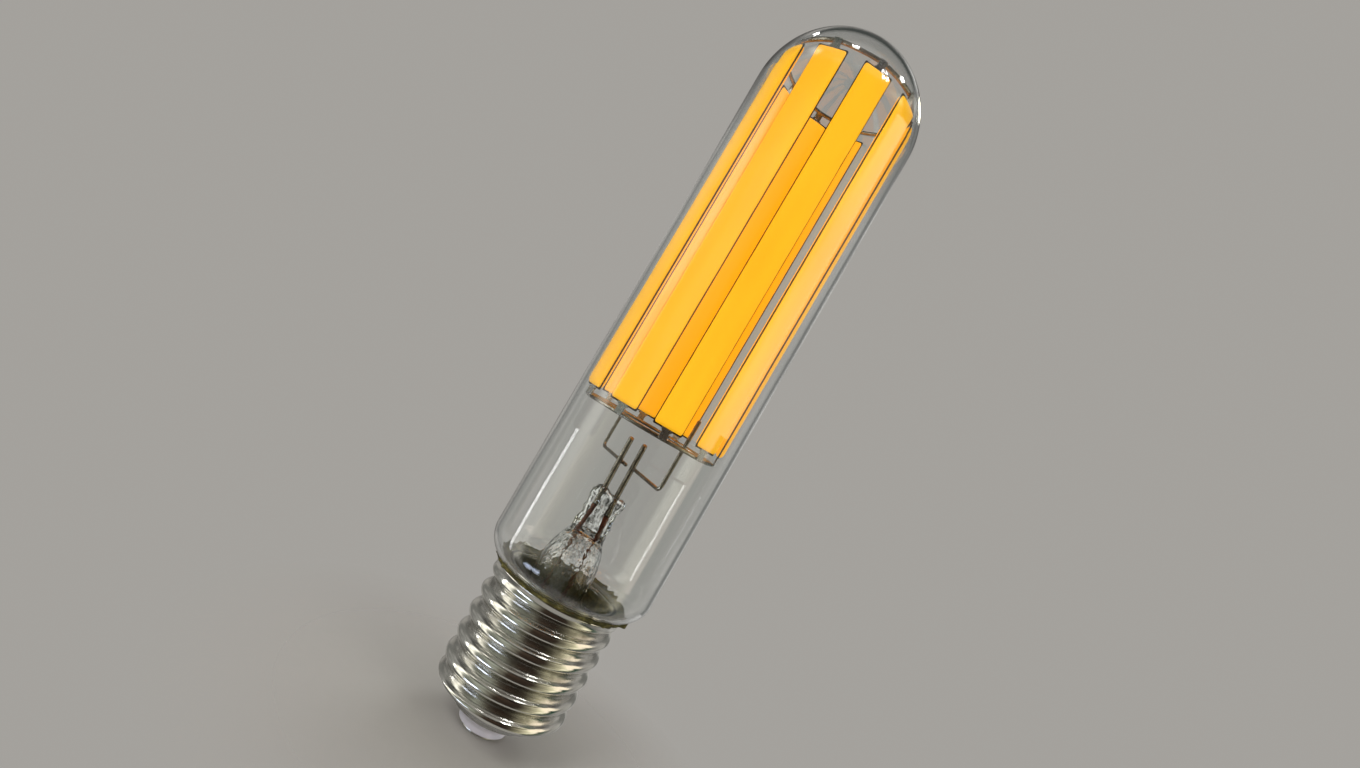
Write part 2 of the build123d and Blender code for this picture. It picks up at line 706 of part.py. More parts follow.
def fuse_resistor():
    body = Cylinder(FUSE_R, FUSE_LENGTH, align=FROM_BELOW)
    body = fillet(body.edges().filter_by(GeomType.CIRCLE), PACKAGE_EDGE)
    return standing(body, (0, 0), fuse_low_z())


def insulating_sleeve():
    """The sleeve over the fuse resistor, standing on the board round the wire hole."""
    inner = FUSE_R + SLEEVE_GAP
    outer = inner + SLEEVE_WALL
    top = fuse_low_z() + FUSE_LENGTH + SLEEVE_PAST_FUSE
    return turned([(inner, BOARD_TOP_Z), (outer, BOARD_TOP_Z), (outer, top), (inner, top)])


def contact_wire():
    low = CONTACT_THICKNESS + CONTACT_HUB_HEIGHT
    return rod((0, 0, low), (0, 0, fuse_low_z()), HOOKUP_WIRE_R)


def shell_wire():
    """From the board out to the shell's inner wall, which it runs up beside."""
    wall_r = THREAD_ROOT_R - SHEET - HOOKUP_WIRE_R - LOOSE
    low = BOARD_TOP_Z
    points = [
        polar(SHELL_WIRE_AT_R, 90, low),
        polar(SHELL_WIRE_AT_R, 90, low + SHELL_WIRE_RISE),
        polar(wall_r, 90, low + SHELL_WIRE_RISE * 2),
        polar(wall_r, 90, low + SHELL_WIRE_RISE * 2 + SHELL_WIRE_RUN),
    ]
    return bent_wire(points, HOOKUP_WIRE_R, HOOKUP_BEND_R)


def build_parts():
    parts = {
        "glass_envelope": glass_envelope(),
        "cap_shell": cap_shell(),
        "cap_insulator": cap_insulator(),
        "end_contact": end_contact(),
        "cap_cement": cap_cement(),
        "stem_glass": stem_glass(),
        "exhaust_tube": exhaust_tube(),
        "lower_ring_front": lower_ring(0),
        "lower_ring_back": lower_ring(1),
        "upper_ring": upper_ring(),
        "feed_wire_front": feed_wire_front(),
        "feed_wire_back": feed_wire_back(),
        "led_chips": led_chips(),
        "driver_board": driver_board(),
        "smoothing_capacitor": smoothing_capacitor(),
        "inductor_core": inductor(),
        "inductor_winding": inductor_winding(),
        "bridge_rectifier": package(BRIDGE_SIZE, BRIDGE_AT),
        "driver_chip": package(CHIP_PACKAGE_SIZE, CHIP_PACKAGE_AT),
        "fuse_resistor": fuse_resistor(),
        "insulating_sleeve": insulating_sleeve(),
        "contact_wire": contact_wire(),
        "shell_wire": shell_wire(),
    }
    for side, name in ((-1, "left"), (1, "right")):
        parts[f"lead_wire_{name}"] = lead_wire(side)
        parts[f"seal_wire_{name}"] = seal_wire(side)
        parts[f"outer_lead_{name}"] = outer_lead(side)
    for number in range(1, FILAMENT_COUNT + 1):
        parts[f"filament_{number:02d}_substrate"] = filament_substrate(number)
        parts[f"filament_{number:02d}_phosphor"] = filament_phosphor(number)
        parts[f"filament_{number:02d}_tabs"] = filament_tabs(number)
    return parts


os.makedirs("parts", exist_ok=True)
for part_name, shape in build_parts().items():
    export_step(shape, f"parts/{part_name}.step")
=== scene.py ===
"""A clear tubular LED filament lamp on a large screw cap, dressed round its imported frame.

Sizes are in millimetres, as on the lamp's drawing, and every mesh is made in metres.
Angles round the lamp are counted from -Y towards +X.
"""

import logging
import math
from dataclasses import dataclass
from enum import Enum
from typing import Callable, Sequence

import bmesh
import bpy
from mathutils import Matrix, Quaternion, Vector, noise


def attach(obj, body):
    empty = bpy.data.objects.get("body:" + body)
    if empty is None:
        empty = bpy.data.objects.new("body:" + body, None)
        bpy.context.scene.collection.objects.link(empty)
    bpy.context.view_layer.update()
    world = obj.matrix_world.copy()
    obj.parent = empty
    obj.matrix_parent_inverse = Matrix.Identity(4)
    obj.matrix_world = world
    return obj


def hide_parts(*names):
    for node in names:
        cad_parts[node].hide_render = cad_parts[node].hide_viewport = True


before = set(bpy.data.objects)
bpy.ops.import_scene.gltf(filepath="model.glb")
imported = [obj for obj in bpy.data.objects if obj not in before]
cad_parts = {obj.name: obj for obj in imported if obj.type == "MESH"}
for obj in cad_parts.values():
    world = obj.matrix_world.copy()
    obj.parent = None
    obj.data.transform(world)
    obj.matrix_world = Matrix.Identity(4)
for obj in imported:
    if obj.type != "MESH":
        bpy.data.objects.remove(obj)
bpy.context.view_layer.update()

MM = 0.001
BODY = "root"

log = logging.getLogger("lamp")

Point = tuple[float, float, float]
Spot = tuple[float, float]
Rows = tuple[tuple[float, ...], ...]
Amount = float | bpy.types.NodeSocket
Tint = Point | bpy.types.NodeSocket
BEND_STEPS = 8  # round a wire's bend
RUN_STEPS = 6  # up a straight run of an outline


# Plain geometry


def polar(radius: float, degrees: float, z: float = 0.0) -> Point:
    """A point at a radius and an angle from -Y towards +X."""
    angle = math.radians(degrees)
    return (radius * math.sin(angle), -radius * math.cos(angle), z)


def fade(low: float, high: float, value: float) -> float:
    """A smooth step."""
    share = min(1.0, max(0.0, (value - low) / (high - low)))
    return share * share * (3.0 - 2.0 * share)


def soft_min(first: float, second: float, blend: float) -> float:
    """The lesser of two values, with the corner between them rounded."""
    share = max(blend - abs(first - second), 0.0) / blend
    return min(first, second) - share * share * blend / 4


def ripple(point: Point, size: float, seed: float = 0.0) -> float:
    """Smooth unevenness in space."""
    return noise.noise(Vector(point) / size + Vector((seed, seed * 1.7, -seed * 0.6)))


def bow(centre: Spot, radius: float, turns: Sequence[int]) -> list[Spot]:
    """Radius and height of points on an arc, its angles in degrees counted from outward to up."""
    return [(centre[0] + radius * math.cos(math.radians(turn)),
             centre[1] + radius * math.sin(math.radians(turn))) for turn in turns]


def smooth_rows(keys: Sequence[Sequence[float]], steps: int) -> list[list[float]]:
    """Fills in rows of numbers by a smooth curve through given ones.

    Args:
        keys: rows of equal length.
        steps: how many steps go between two of them.

    Returns:
        The filled list, which holds each given row.
    """
    rows = []
    padded = [keys[0], *keys, keys[-1]]
    for before, start, end, after in zip(padded, padded[1:], padded[2:], padded[3:]):
        for step in range(steps):
            t = step / steps
            rows.append([0.5 * (2 * b + (c - a) * t + (2 * a - 5 * b + 4 * c - d) * t**2
                                + (3 * b - a - 3 * c + d) * t**3)
                         for a, b, c, d in zip(before, start, end, after)])
    return rows + [list(keys[-1])]


def bent_path(corners: Sequence[Point], bend_radius: float) -> list[Vector]:
    """The centre line of a wire bent round each corner.

    Args:
        corners: the points it is bent towards.
        bend_radius: radius of every bend.

    Returns:
        Points along it.
    """
    points = [Vector(corner) for corner in corners]
    path = [points[0]]
    for before, corner, after in zip(points, points[1:], points[2:]):
        into, out = (before - corner).normalized(), (after - corner).normalized()
        half_turn = (math.pi - into.angle(out)) / 2
        reach = bend_radius * math.tan(half_turn)
        centre = corner + (into + out).normalized() * bend_radius / math.cos(half_turn)
        start, end = corner + into * reach - centre, corner + out * reach - centre
        path += [centre + start.slerp(end, step / BEND_STEPS) * bend_radius for step in range(BEND_STEPS + 1)]
    return path + [points[-1]]


def drawn_in(point: Point, depth: float, rise: float) -> Point:
    """A point moved towards the axis and up.

    Args:
        point: where it was.
        depth: how far it moves in.
        rise: how far it moves up.

    Returns:
        Where it is now.
    """
    x, y, z = point
    share = 1 - depth / math.hypot(x, y)
    return (x * share, y * share, z + rise)


class Skin:
    """Gathers rings of points and the faces between them into one mesh."""

    def __init__(self) -> None:
        """Starts empty."""
        self.points: list[Point] = []
        self.faces: list[tuple[int, ...]] = []
        self.voids_from: int | None = None

    def ring(self, points: Sequence[Point]) -> list[int]:
        """Adds a row of points.

        Args:
            points: the row.

        Returns:
            Their numbers.
        """
        first = len(self.points)
        self.points += [tuple(point) for point in points]
        return list(range(first, len(self.points)))

    def bridge(self, low: list[int], high: list[int]) -> None:
        """Joins two closed rings, or a ring and a single point.

        Args:
            low: the first ring.
            high: the second ring.
        """
        count = max(len(low), len(high))
        for index in range(count):
            after = (index + 1) % count
            if len(low) == 1 and len(high) > 1:
                self.faces.append((low[0], high[after], high[index]))
            elif len(high) == 1 and len(low) > 1:
                self.faces.append((low[index], low[after], high[0]))
            elif len(low) > 1:
                self.faces.append((low[index], low[after], high[after], high[index]))

    def stack(self, rows: Sequence[Sequence[Point]], closed: bool = False, plugged: bool = False) -> None:
        """Joins rows of points one after another.

        Args:
            rows: the rows; one of a single point is a tip.
            closed: whether the last joins the first.
            plugged: whether a flat face closes each end.
        """
        rings = [self.ring(row) for row in rows]
        for low, high in zip(rings, rings[1:]):
            self.bridge(low, high)
        if closed:
            self.bridge(rings[-1], rings[0])
        if plugged:
            self.faces += [tuple(rings[0]), tuple(reversed(rings[-1]))]

    def turn(self, outline: Sequence[Spot], steps: int, place: Callable[[Point], Point] | None = None,
             closed: bool = True) -> None:
        """Turns an outline round the axis.

        Args:
            outline: radius and height of each point.
            steps: how many points go round.
            place: moves each point to where it belongs.
            closed: whether the last point joins the first.
        """
        rows = []
        for radius, z in outline:
            count = steps if radius > 0 else 1
            row = [polar(radius, 360 * index / steps, z) for index in range(count)]
            rows.append([place(point) for point in row] if place else row)
        self.stack(rows, closed)

    def wire(self, path: Sequence[Vector], radius: Callable[[float], float] | float,
             sides: int = 14, ends: float = 0.6) -> None:
        """Lays a round wire with rounded ends along a path.

        Args:
            path: its centre line.
            radius: its radius, or the radius for each share of its length.
            sides: how many points go round.
            ends: how far each end is domed, as a share of the radius.
        """
        count = len(path) - 1
        tangents = [(path[min(i + 1, count)] - path[max(i - 1, 0)]).normalized() for i in range(count + 1)]
        side = tangents[0].orthogonal().normalized()
        rows = []
        for index, (point, tangent) in enumerate(zip(path, tangents)):
            if index:
                side = tangents[index - 1].rotation_difference(tangent) @ side
            width = radius(index / count) if callable(radius) else radius
            turns = [Quaternion(tangent, 2 * math.pi * step / sides) @ side for step in range(sides)]
            if index == 0:
                rows += self.dome(point, -tangent, turns, width, ends)[::-1]
            rows.append([tuple(point + turn * width) for turn in turns])
            if index == count:
                rows += self.dome(point, tangent, turns, width, ends)
        self.stack(rows)

    @staticmethod
    def dome(centre: Vector, heading: Vector, turns: Sequence[Vector], width: float,
             height: float) -> list[list[Point]]:
        """The rounded end of a wire.

        Args:
            centre: where the end starts.
            heading: which way it points.
            turns: the directions round the wire.
            width: the wire's radius.
            height: how far the end is domed, as a share of the radius.

        Returns:
            Its rows, the tip last.
        """
        rows = []
        for degrees in (35, 65):
            angle = math.radians(degrees)
            middle = centre + heading * width * height * math.sin(angle)
            rows.append([tuple(middle + turn * width * math.cos(angle)) for turn in turns])
        return rows + [[tuple(centre + heading * width * height)]]

    def blob(self, centre: Point, size: Point, sides: int = 12, seed: float = 0.0,
             roughness: float = 0.0) -> None:
        """Adds a rounded lump.

        Args:
            centre: its middle.
            size: its half widths.
            sides: how many points go round.
            seed: which of many patterns of unevenness.
            roughness: how uneven it is.
        """
        rows = []
        levels = sides // 2
        for level in range(levels + 1):
            tilt = math.pi * level / levels - math.pi / 2
            count = 1 if level in (0, levels) else sides
            row = []
            for step in range(count):
                turn = 2 * math.pi * step / sides
                ray = (math.cos(tilt) * math.cos(turn), math.cos(tilt) * math.sin(turn), math.sin(tilt))
                swell = 1 + roughness * ripple(ray, 0.8, seed)
                row.append(tuple(c + s * r * swell for c, s, r in zip(centre, size, ray)))
            rows.append(row)
        self.stack(rows)

    def piece(self, name: str) -> bpy.types.Object:
        """Makes the mesh.

        Args:
            name: the piece's name.

        Returns:
            The new object, its faces pointing outward and its voids' faces inward.
        """
        mesh = bpy.data.meshes.new(name)
        mesh.from_pydata([(x * MM, y * MM, z * MM) for x, y, z in self.points], [], self.faces)
        grid = bmesh.new()
        grid.from_mesh(mesh)
        bmesh.ops.recalc_face_normals(grid, faces=grid.faces)
        if self.voids_from is not None:
            grid.faces.ensure_lookup_table()
            bmesh.ops.reverse_faces(grid, faces=grid.faces[self.voids_from:])
        grid.to_mesh(mesh)
        grid.free()
        mesh.shade_smooth()
        thing = bpy.data.objects.new(name, mesh)
        bpy.context.scene.collection.objects.link(thing)
        return thing


def crease(piece: bpy.types.Object, degrees: float) -> None:
    """Keeps a piece's sharp edges sharp and the rest smooth.

    Args:
        piece: the piece.
        degrees: the least angle between two faces that counts as sharp.
    """
    grid = bmesh.new()
    grid.from_mesh(piece.data)
    for edge in grid.edges:
        edge.smooth = len(edge.link_faces) < 2 or edge.calc_face_angle(0.0) < math.radians(degrees)
    grid.to_mesh(piece.data)
    grid.free()


# Finishes


class Slot(Enum):
    """The record's material slots."""

    GLASS = "clear_glass"
    NICKEL = "nickel_shell"
    INSULATOR = "white_insulator"
    CONTACT = "contact_metal"
    CEMENT = "olive_cement"
    PHOSPHOR = "yellow_phosphor"
    SUBSTRATE = "filament_substrate"
    TAB = "tab_strip"
    WIRE = "nickel_wire"
    SEAL = "copper_seal"
    COPPER = "copper_wire"
    CHIP = "chip_blue"
    BOARD = "board_green"
    PACKAGE = "black_package"
    CAN = "capacitor_can"
    FERRITE = "ferrite"
    RESISTOR = "resistor_body"
    SLEEVE = "sleeve_white"


class Brush:
    """Builds the nodes of one material, or of the world."""

    def __init__(self, owner: bpy.types.ID) -> None:
        """Starts with no nodes.

        Args:
            owner: the new material or world.
        """
        owner.use_nodes = True
        self.owner = owner
        self.tree = owner.node_tree
        self.tree.nodes.clear()
        self.place = self.node("ShaderNodeTexCoord").outputs["Object"]

    def node(self, kind: str, inputs: dict | None = None, **settings) -> bpy.types.Node:
        """Adds a node.

        Args:
            kind: the node's type.
            inputs: values or sockets for its inputs, by name or number.
            **settings: its own settings.

        Returns:
            The node.
        """
        made = self.tree.nodes.new(kind)
        for key, value in settings.items():
            setattr(made, key, value)
        for key, value in (inputs or {}).items():
            if isinstance(value, bpy.types.NodeSocket):
                self.tree.links.new(value, made.inputs[key])
            else:
                made.inputs[key].default_value = value
        return made

    def math(self, operation: str, first: Amount, second: Amount) -> bpy.types.NodeSocket:
        """Works out one number from two."""
        return self.node("ShaderNodeMath", {0: first, 1: second}, operation=operation).outputs[0]

    def stretched(self, scale: Point) -> bpy.types.NodeSocket:
        """The place on the piece, stretched along each axis."""
        return self.node("ShaderNodeMapping", {"Vector": self.place, "Scale": scale}).outputs[0]

    def grain(self, size: float, detail: float = 3.0, stretch: Point = (1, 1, 1),
              roughness: float = 0.55) -> bpy.types.NodeSocket:
        """Noise in space, from 0 to 1, its swells about so many millimetres apart."""
        return self.node("ShaderNodeTexNoise", {
            "Vector": self.stretched(stretch), "Scale": 1 / (size * MM), "Detail": detail,
            "Roughness": roughness}).outputs[0]

    def ramp(self, value: bpy.types.NodeSocket, *stops: tuple[float, Point]) -> bpy.types.NodeSocket:
        """Turns a number into a colour.

        Args:
            value: the number.
            *stops: where each colour stands, and the colour.

        Returns:
            The colour.
        """
        made = self.node("ShaderNodeValToRGB", {0: value})
        line = made.color_ramp
        while len(line.elements) < len(stops):
            line.elements.new(0.5)
        for element, (at, colour) in zip(line.elements, stops):
            element.position = at
            element.color = (*colour, 1)
        return made.outputs[0]

    def spread(self, value: bpy.types.NodeSocket, low: float, high: float, to_low: float,
               to_high: float) -> bpy.types.NodeSocket:
        """Maps a number from one range to another."""
        return self.node("ShaderNodeMapRange", {
            0: value, 1: low, 2: high, 3: to_low, 4: to_high}).outputs[0]

    def mix(self, share: Amount, first: Tint, second: Tint) -> bpy.types.NodeSocket:
        """Mixes two colours."""
        first, second = (value if isinstance(value, bpy.types.NodeSocket) else (*value, 1)
                         for value in (first, second))
        return self.node("ShaderNodeMix", {0: share, 6: first, 7: second}, data_type="RGBA").outputs[2]

    def bump(self, height: bpy.types.NodeSocket, depth: float, strength: float) -> bpy.types.NodeSocket:
        """Makes a surface uneven by a height from 0 to 1 and a depth in millimetres."""
        return self.node("ShaderNodeBump", {
            "Height": height, "Distance": depth * MM, "Strength": strength}).outputs[0]

    def radius(self) -> bpy.types.NodeSocket:
        """The distance from the lamp's axis, in metres."""
        flat = self.stretched((1, 1, 0))
        return self.node("ShaderNodeVectorMath", {0: flat}, operation="LENGTH").outputs["Value"]

    def surface(self, **inputs) -> bpy.types.Node:
        """The main shader; a name's words are joined by underscores."""
        names = {key.replace("_", " ").title().replace("Ior", "IOR"): value for key, value in inputs.items()}
        return self.node("ShaderNodeBsdfPrincipled", names)

    def done(self, shader: bpy.types.NodeSocket, volume: bpy.types.NodeSocket | None = None) -> bpy.types.ID:
        """Joins the last shader to the output.

        Args:
            shader: the surface's, or the world's.
            volume: what is inside the piece.

        Returns:
            The material or world.
        """
        output = self.node(f"ShaderNodeOutput{type(self.owner).__name__}", {"Surface": shader})
        if volume is not None:
            self.tree.links.new(volume, output.inputs["Volume"])
        return self.owner


@dataclass(frozen=True)
class Finish:
    """What all finishes share: a name and the record's slot."""

    name: str
    slot: Slot

    def paint(self, brush: Brush) -> bpy.types.NodeSocket:
        """Builds the finish."""
        raise NotImplementedError

    def material(self) -> bpy.types.Material:
        """The finish's material, made on first use."""
        known = bpy.data.materials.get(self.name)
        if known:
            return known
        brush = Brush(bpy.data.materials.new(self.name))
        return brush.done(self.paint(brush), self.depth(brush))

    def depth(self, brush: Brush) -> bpy.types.NodeSocket | None:
        """What light loses inside the piece: nothing, unless it is glass."""
        return None


@dataclass(frozen=True)
class ClearGlass(Finish):
    """Blown or pressed clear glass, with the faint waves that drawing leaves in it."""

    wave_size: float = 9.0
    wave_depth: float = 0.05
    wave_stretch: float = 0.25
    bend: float = 1.5
    lamp_share: float = 0.93
    deep_colour: Point = (0.10, 0.20, 0.17)
    density: float = 42.0

    def depth(self, brush: Brush) -> bpy.types.NodeSocket:
        """The glass's own grey-green in its thickness."""
        return brush.node("ShaderNodeVolumeAbsorption", {
            "Color": (*self.deep_colour, 1), "Density": self.density}).outputs[0]

    def paint(self, brush: Brush) -> bpy.types.NodeSocket:
        """Builds the finish.

        Args:
            brush: where its nodes go.

        Returns:
            Its shader.
        """
        wave = brush.grain(self.wave_size, 1.0, (1, 1, self.wave_stretch))
        tint = brush.ramp(wave, (0.3, (0.975, 0.99, 0.985)), (0.7, (1, 1, 1)))
        glass = brush.surface(base_color=tint, transmission_weight=1.0, roughness=0.0, IOR=self.bend,
                              normal=brush.bump(wave, self.wave_depth, 0.6))
        share = self.lamp_share
        open_to_lamps = brush.node("ShaderNodeBsdfTransparent", {0: (share, share, share, 1)})
        shadow = brush.node("ShaderNodeLightPath").outputs["Is Shadow Ray"]
        return brush.node("ShaderNodeMixShader", {
            0: shadow, 1: glass.outputs[0], 2: open_to_lamps.outputs[0]}).outputs[0]


@dataclass(frozen=True)
class ThinGlass(Finish):
    """Thin glass inside thicker glass, clear where it is seen straight on and grey at its sides."""

    colour: Point
    flank: float = 0.72
    face: float = 0.06

    def paint(self, brush: Brush) -> bpy.types.NodeSocket:
        """Builds the finish.

        Args:
            brush: where its nodes go.

        Returns:
            Its shader.
        """
        facing = brush.node("ShaderNodeLayerWeight", {"Blend": 0.5}).outputs["Facing"]
        wave = brush.grain(2.0, 1.0, (1, 1, 0.3))
        return brush.surface(base_color=(*self.colour, 1), roughness=0.04,
                             alpha=brush.spread(facing, 0.55, 1.0, self.face, self.flank),
                             normal=brush.bump(wave, 0.05, 0.5)).outputs[0]


@dataclass(frozen=True)
class Metal(Finish):
    """Wire, strip or sheet with a dull skin in patches."""

    colour: Point
    stain: Point
    roughness: float
    patch_size: float = 1.2
    stain_share: float = 0.5

    def paint(self, brush: Brush) -> bpy.types.NodeSocket:
        """Builds the finish.

        Args:
            brush: where its nodes go.

        Returns:
            Its shader.
        """
        patches = brush.grain(self.patch_size, 4.0)
        edge = 1 - self.stain_share
        tone = brush.mix(brush.spread(patches, edge - 0.12, edge + 0.2, 0, 0.85), self.colour, self.stain)
        drawn = brush.grain(0.15, 2.0, (1, 1, 0.15))
        rough = brush.spread(patches, 0.3, 0.8, self.roughness, self.roughness * 1.9)
        return brush.surface(base_color=tone, metallic=1.0, roughness=rough,
                             normal=brush.bump(drawn, 0.012, 0.5)).outputs[0]


@dataclass(frozen=True)
class RolledNickel(Finish):
    """Bright nickel plate on rolled sheet, rougher at the foot of the thread, where painted shade darkens it
    to brown in patches.
    """

    colour: Point
    # painted shade: the dark brown laid into the thread roots
    grime: Point
    root: float
    crest: float

    def paint(self, brush: Brush) -> bpy.types.NodeSocket:
        """Builds the finish.

        Args:
            brush: where its nodes go.

        Returns:
            Its shader.
        """
        lines = brush.grain(0.9, 4.0, (0.12, 0.12, 3.0))
        clouds = brush.grain(6.0, 4.0)
        # painted shade: dark brown in patches at the thread roots, fading out towards the crests; the same
        # share also roughens the roots
        depth = brush.spread(brush.radius(), self.root * MM, self.crest * MM, 0.95, 0.0)
        root_shade_and_dull = brush.math("MULTIPLY", depth, brush.spread(clouds, 0.35, 0.75, 0.1, 0.9))
        tone = brush.mix(root_shade_and_dull, self.colour, self.grime)
        rough = brush.math("ADD", brush.spread(lines, 0.3, 0.8, 0.13, 0.24),
                           brush.math("MULTIPLY", root_shade_and_dull, 0.25))
        uneven = brush.math("ADD", brush.math("MULTIPLY", lines, 0.25), brush.grain(3.2, 1.0))
        return brush.surface(base_color=tone, metallic=1.0, roughness=rough,
                             normal=brush.bump(uneven, 0.09, 0.5)).outputs[0]


@dataclass(frozen=True)
class Moulded(Finish):
    """Moulded, fired or lacquered stuff with a fine skin and slow change of tone."""

    colour: Point
    second: Point
    roughness: float
    grain_size: float = 0.6
    relief: float = 0.02
    waxy: float = 0.0

    def paint(self, brush: Brush) -> bpy.types.NodeSocket:
        """Builds the finish.

        Args:
            brush: where its nodes go.

        Returns:
            Its shader.
        """
        fine = brush.grain(self.grain_size, 4.0)
        slow = brush.grain(self.grain_size * 7, 2.0)
        tone = brush.mix(brush.spread(slow, 0.3, 0.7, 0, 1), self.colour, self.second)
        rough = brush.spread(fine, 0.3, 0.7, self.roughness * 0.85, self.roughness * 1.15)
        shader = brush.surface(base_color=tone, roughness=rough, subsurface_weight=self.waxy,
                               normal=brush.bump(fine, self.relief, 0.6))
        shader.inputs["Subsurface Radius"].default_value = (0.0012, 0.0010, 0.0009)
        shader.inputs["Subsurface Scale"].default_value = 1.0
        return shader.outputs[0]


@dataclass(frozen=True)
class BakedCement(Finish):
    """Coarse olive cement, yellowish where crumbs stand proud of it."""

    dark: Point
    mid: Point
    pale: Point

    def paint(self, brush: Brush) -> bpy.types.NodeSocket:
        """Builds the finish.

        Args:
            brush: where its nodes go.

        Returns:
            Its shader.
        """
        clouds = brush.grain(2.2, 5.0)
        grit = brush.grain(0.35, 3.0, roughness=0.7)
        both = brush.math("ADD", brush.math("MULTIPLY", clouds, 0.65), brush.math("MULTIPLY", grit, 0.35))
        tone = brush.ramp(both, (0.36, self.dark), (0.52, self.mid), (0.66, self.pale))
        return brush.surface(base_color=tone, roughness=brush.spread(grit, 0.2, 0.8, 0.6, 0.95),
                             normal=brush.bump(both, 0.25, 0.8)).outputs[0]


@dataclass(frozen=True)
class LitPhosphor(Finish):
    """Silicone full of phosphor, lit by the chips under it: paler at its rim, and deeper on the inner side,
    where shade is painted into its colour.
    """

    # painted shade: the deeper orange of the inner side
    inner: Point
    deep: Point
    bright: Point
    glow: Point
    split: float
    outer: float
    light: float

    def paint(self, brush: Brush) -> bpy.types.NodeSocket:
        """Builds the finish.

        Args:
            brush: where its nodes go.

        Returns:
            Its shader.
        """
        drift = brush.grain(14.0, 2.0, (1, 1, 0.25))
        speck = brush.grain(0.25, 2.0)
        # painted shade: nearer the axis, on the inner side, the colour turns to the deeper inner orange
        unshaded_share = brush.spread(brush.radius(), self.split * MM, self.outer * MM, 0, 1)
        front = brush.mix(brush.spread(drift, 0.35, 0.65, 0, 1), self.deep, self.bright)
        tone = brush.mix(unshaded_share, self.inner, front)
        tone = brush.mix(brush.spread(speck, 0.3, 0.7, 0, 0.10), tone, (0.85, 0.55, 0.12))
        return brush.surface(base_color=tone, roughness=brush.spread(speck, 0.2, 0.8, 0.4, 0.55),
                             emission_color=(*self.glow, 1), emission_strength=self.light,
                             normal=brush.bump(speck, 0.02, 0.4)).outputs[0]


class Finishes:
    """Every finish on the lamp."""

    TUBE = ClearGlass("tube glass", Slot.GLASS)
    STEM = ClearGlass("stem glass", Slot.GLASS, wave_size=1.5, wave_depth=0.42, wave_stretch=0.6,
                      density=26.0)
    PUMPING = ThinGlass("pumping tube glass", Slot.GLASS, (0.30, 0.33, 0.32))
    # the second colour is the painted shade in the thread roots
    NICKEL = RolledNickel("nickel plate", Slot.NICKEL, (0.70, 0.69, 0.64), (0.085, 0.07, 0.048),
                          root=17.9, crest=18.9)
    INSULATOR = Moulded("white insulator", Slot.INSULATOR, (0.78, 0.76, 0.84), (0.66, 0.65, 0.72), 0.35,
                        waxy=0.15)
    CONTACT = Metal("tinned contact", Slot.CONTACT, (0.66, 0.65, 0.62), (0.36, 0.34, 0.31), 0.24)
    CEMENT = BakedCement("baked cement", Slot.CEMENT, (0.022, 0.019, 0.006), (0.060, 0.054, 0.015),
                         (0.20, 0.175, 0.055))
    # the first colour is the painted shade of the inner side
    PHOSPHOR = LitPhosphor("lit phosphor", Slot.PHOSPHOR, (0.78, 0.29, 0.006), (0.80, 0.35, 0.008),
                           (0.82, 0.48, 0.02), (1.0, 0.475, 0.004), split=20.9, outer=21.5, light=0.70)
    SUBSTRATE = Metal("substrate plate", Slot.SUBSTRATE, (0.10, 0.085, 0.06), (0.05, 0.04, 0.025), 0.35)
    TAB = Metal("tab strip", Slot.TAB, (0.66, 0.67, 0.66), (0.36, 0.36, 0.35), 0.2)
    WIRE = Metal("nickel wire", Slot.WIRE, (0.36, 0.335, 0.29), (0.13, 0.10, 0.07), 0.16)
    SEAL = Metal("sealed copper", Slot.SEAL, (0.20, 0.055, 0.03), (0.05, 0.018, 0.012), 0.35)
    COPPER = Metal("copper wire", Slot.COPPER, (0.22, 0.125, 0.085), (0.10, 0.06, 0.045), 0.3)
    CHIP = Moulded("light chip", Slot.CHIP, (0.10, 0.14, 0.42), (0.16, 0.22, 0.5), 0.2)
    BOARD = Moulded("board laminate", Slot.BOARD, (0.02, 0.14, 0.05), (0.03, 0.18, 0.07), 0.4)
    PACKAGE = Moulded("moulded package", Slot.PACKAGE, (0.02, 0.02, 0.022), (0.03, 0.03, 0.03), 0.5, 0.3)
    CAN = Metal("capacitor can", Slot.CAN, (0.62, 0.62, 0.63), (0.42, 0.42, 0.43), 0.28)
    FERRITE = Moulded("ferrite", Slot.FERRITE, (0.035, 0.033, 0.035), (0.05, 0.047, 0.047), 0.6)
    RESISTOR = Moulded("resistor lacquer", Slot.RESISTOR, (0.34, 0.42, 0.30), (0.28, 0.36, 0.26), 0.4)
    SLEEVE = Moulded("woven sleeve", Slot.SLEEVE, (0.74, 0.72, 0.66), (0.66, 0.64, 0.58), 0.7, 0.3, 0.05)


def settle(skin: Skin, name: str, finish: Finish, node: str, sharp: float | None = None) -> None:
    """Makes a skin's piece, finishes it, rides it on the lamp and lets it stand for a CAD node.

    Args:
        skin: the gathered points and faces.
        name: the piece's name.
        finish: its finish.
        node: the CAD node that it replaces.
        sharp: the least angle that stays a sharp edge, for pieces that have any.
    """
    piece = skin.piece(name)
    if sharp is not None:
        crease(piece, sharp)
    piece.data.materials.append(finish.material())
    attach(piece, BODY)
    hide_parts(node)
    log.info("made %s: %d faces", piece.name, len(piece.data.polygons))


def dress(node: str, finish: Finish) -> None:
    """Gives a CAD node its finish.

    Args:
        node: the node's name.
        finish: its finish.
    """
    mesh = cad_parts[node].data
    mesh.materials.clear()
    mesh.materials.append(finish.material())
    log.info("dressed %s", node)


# The lamp


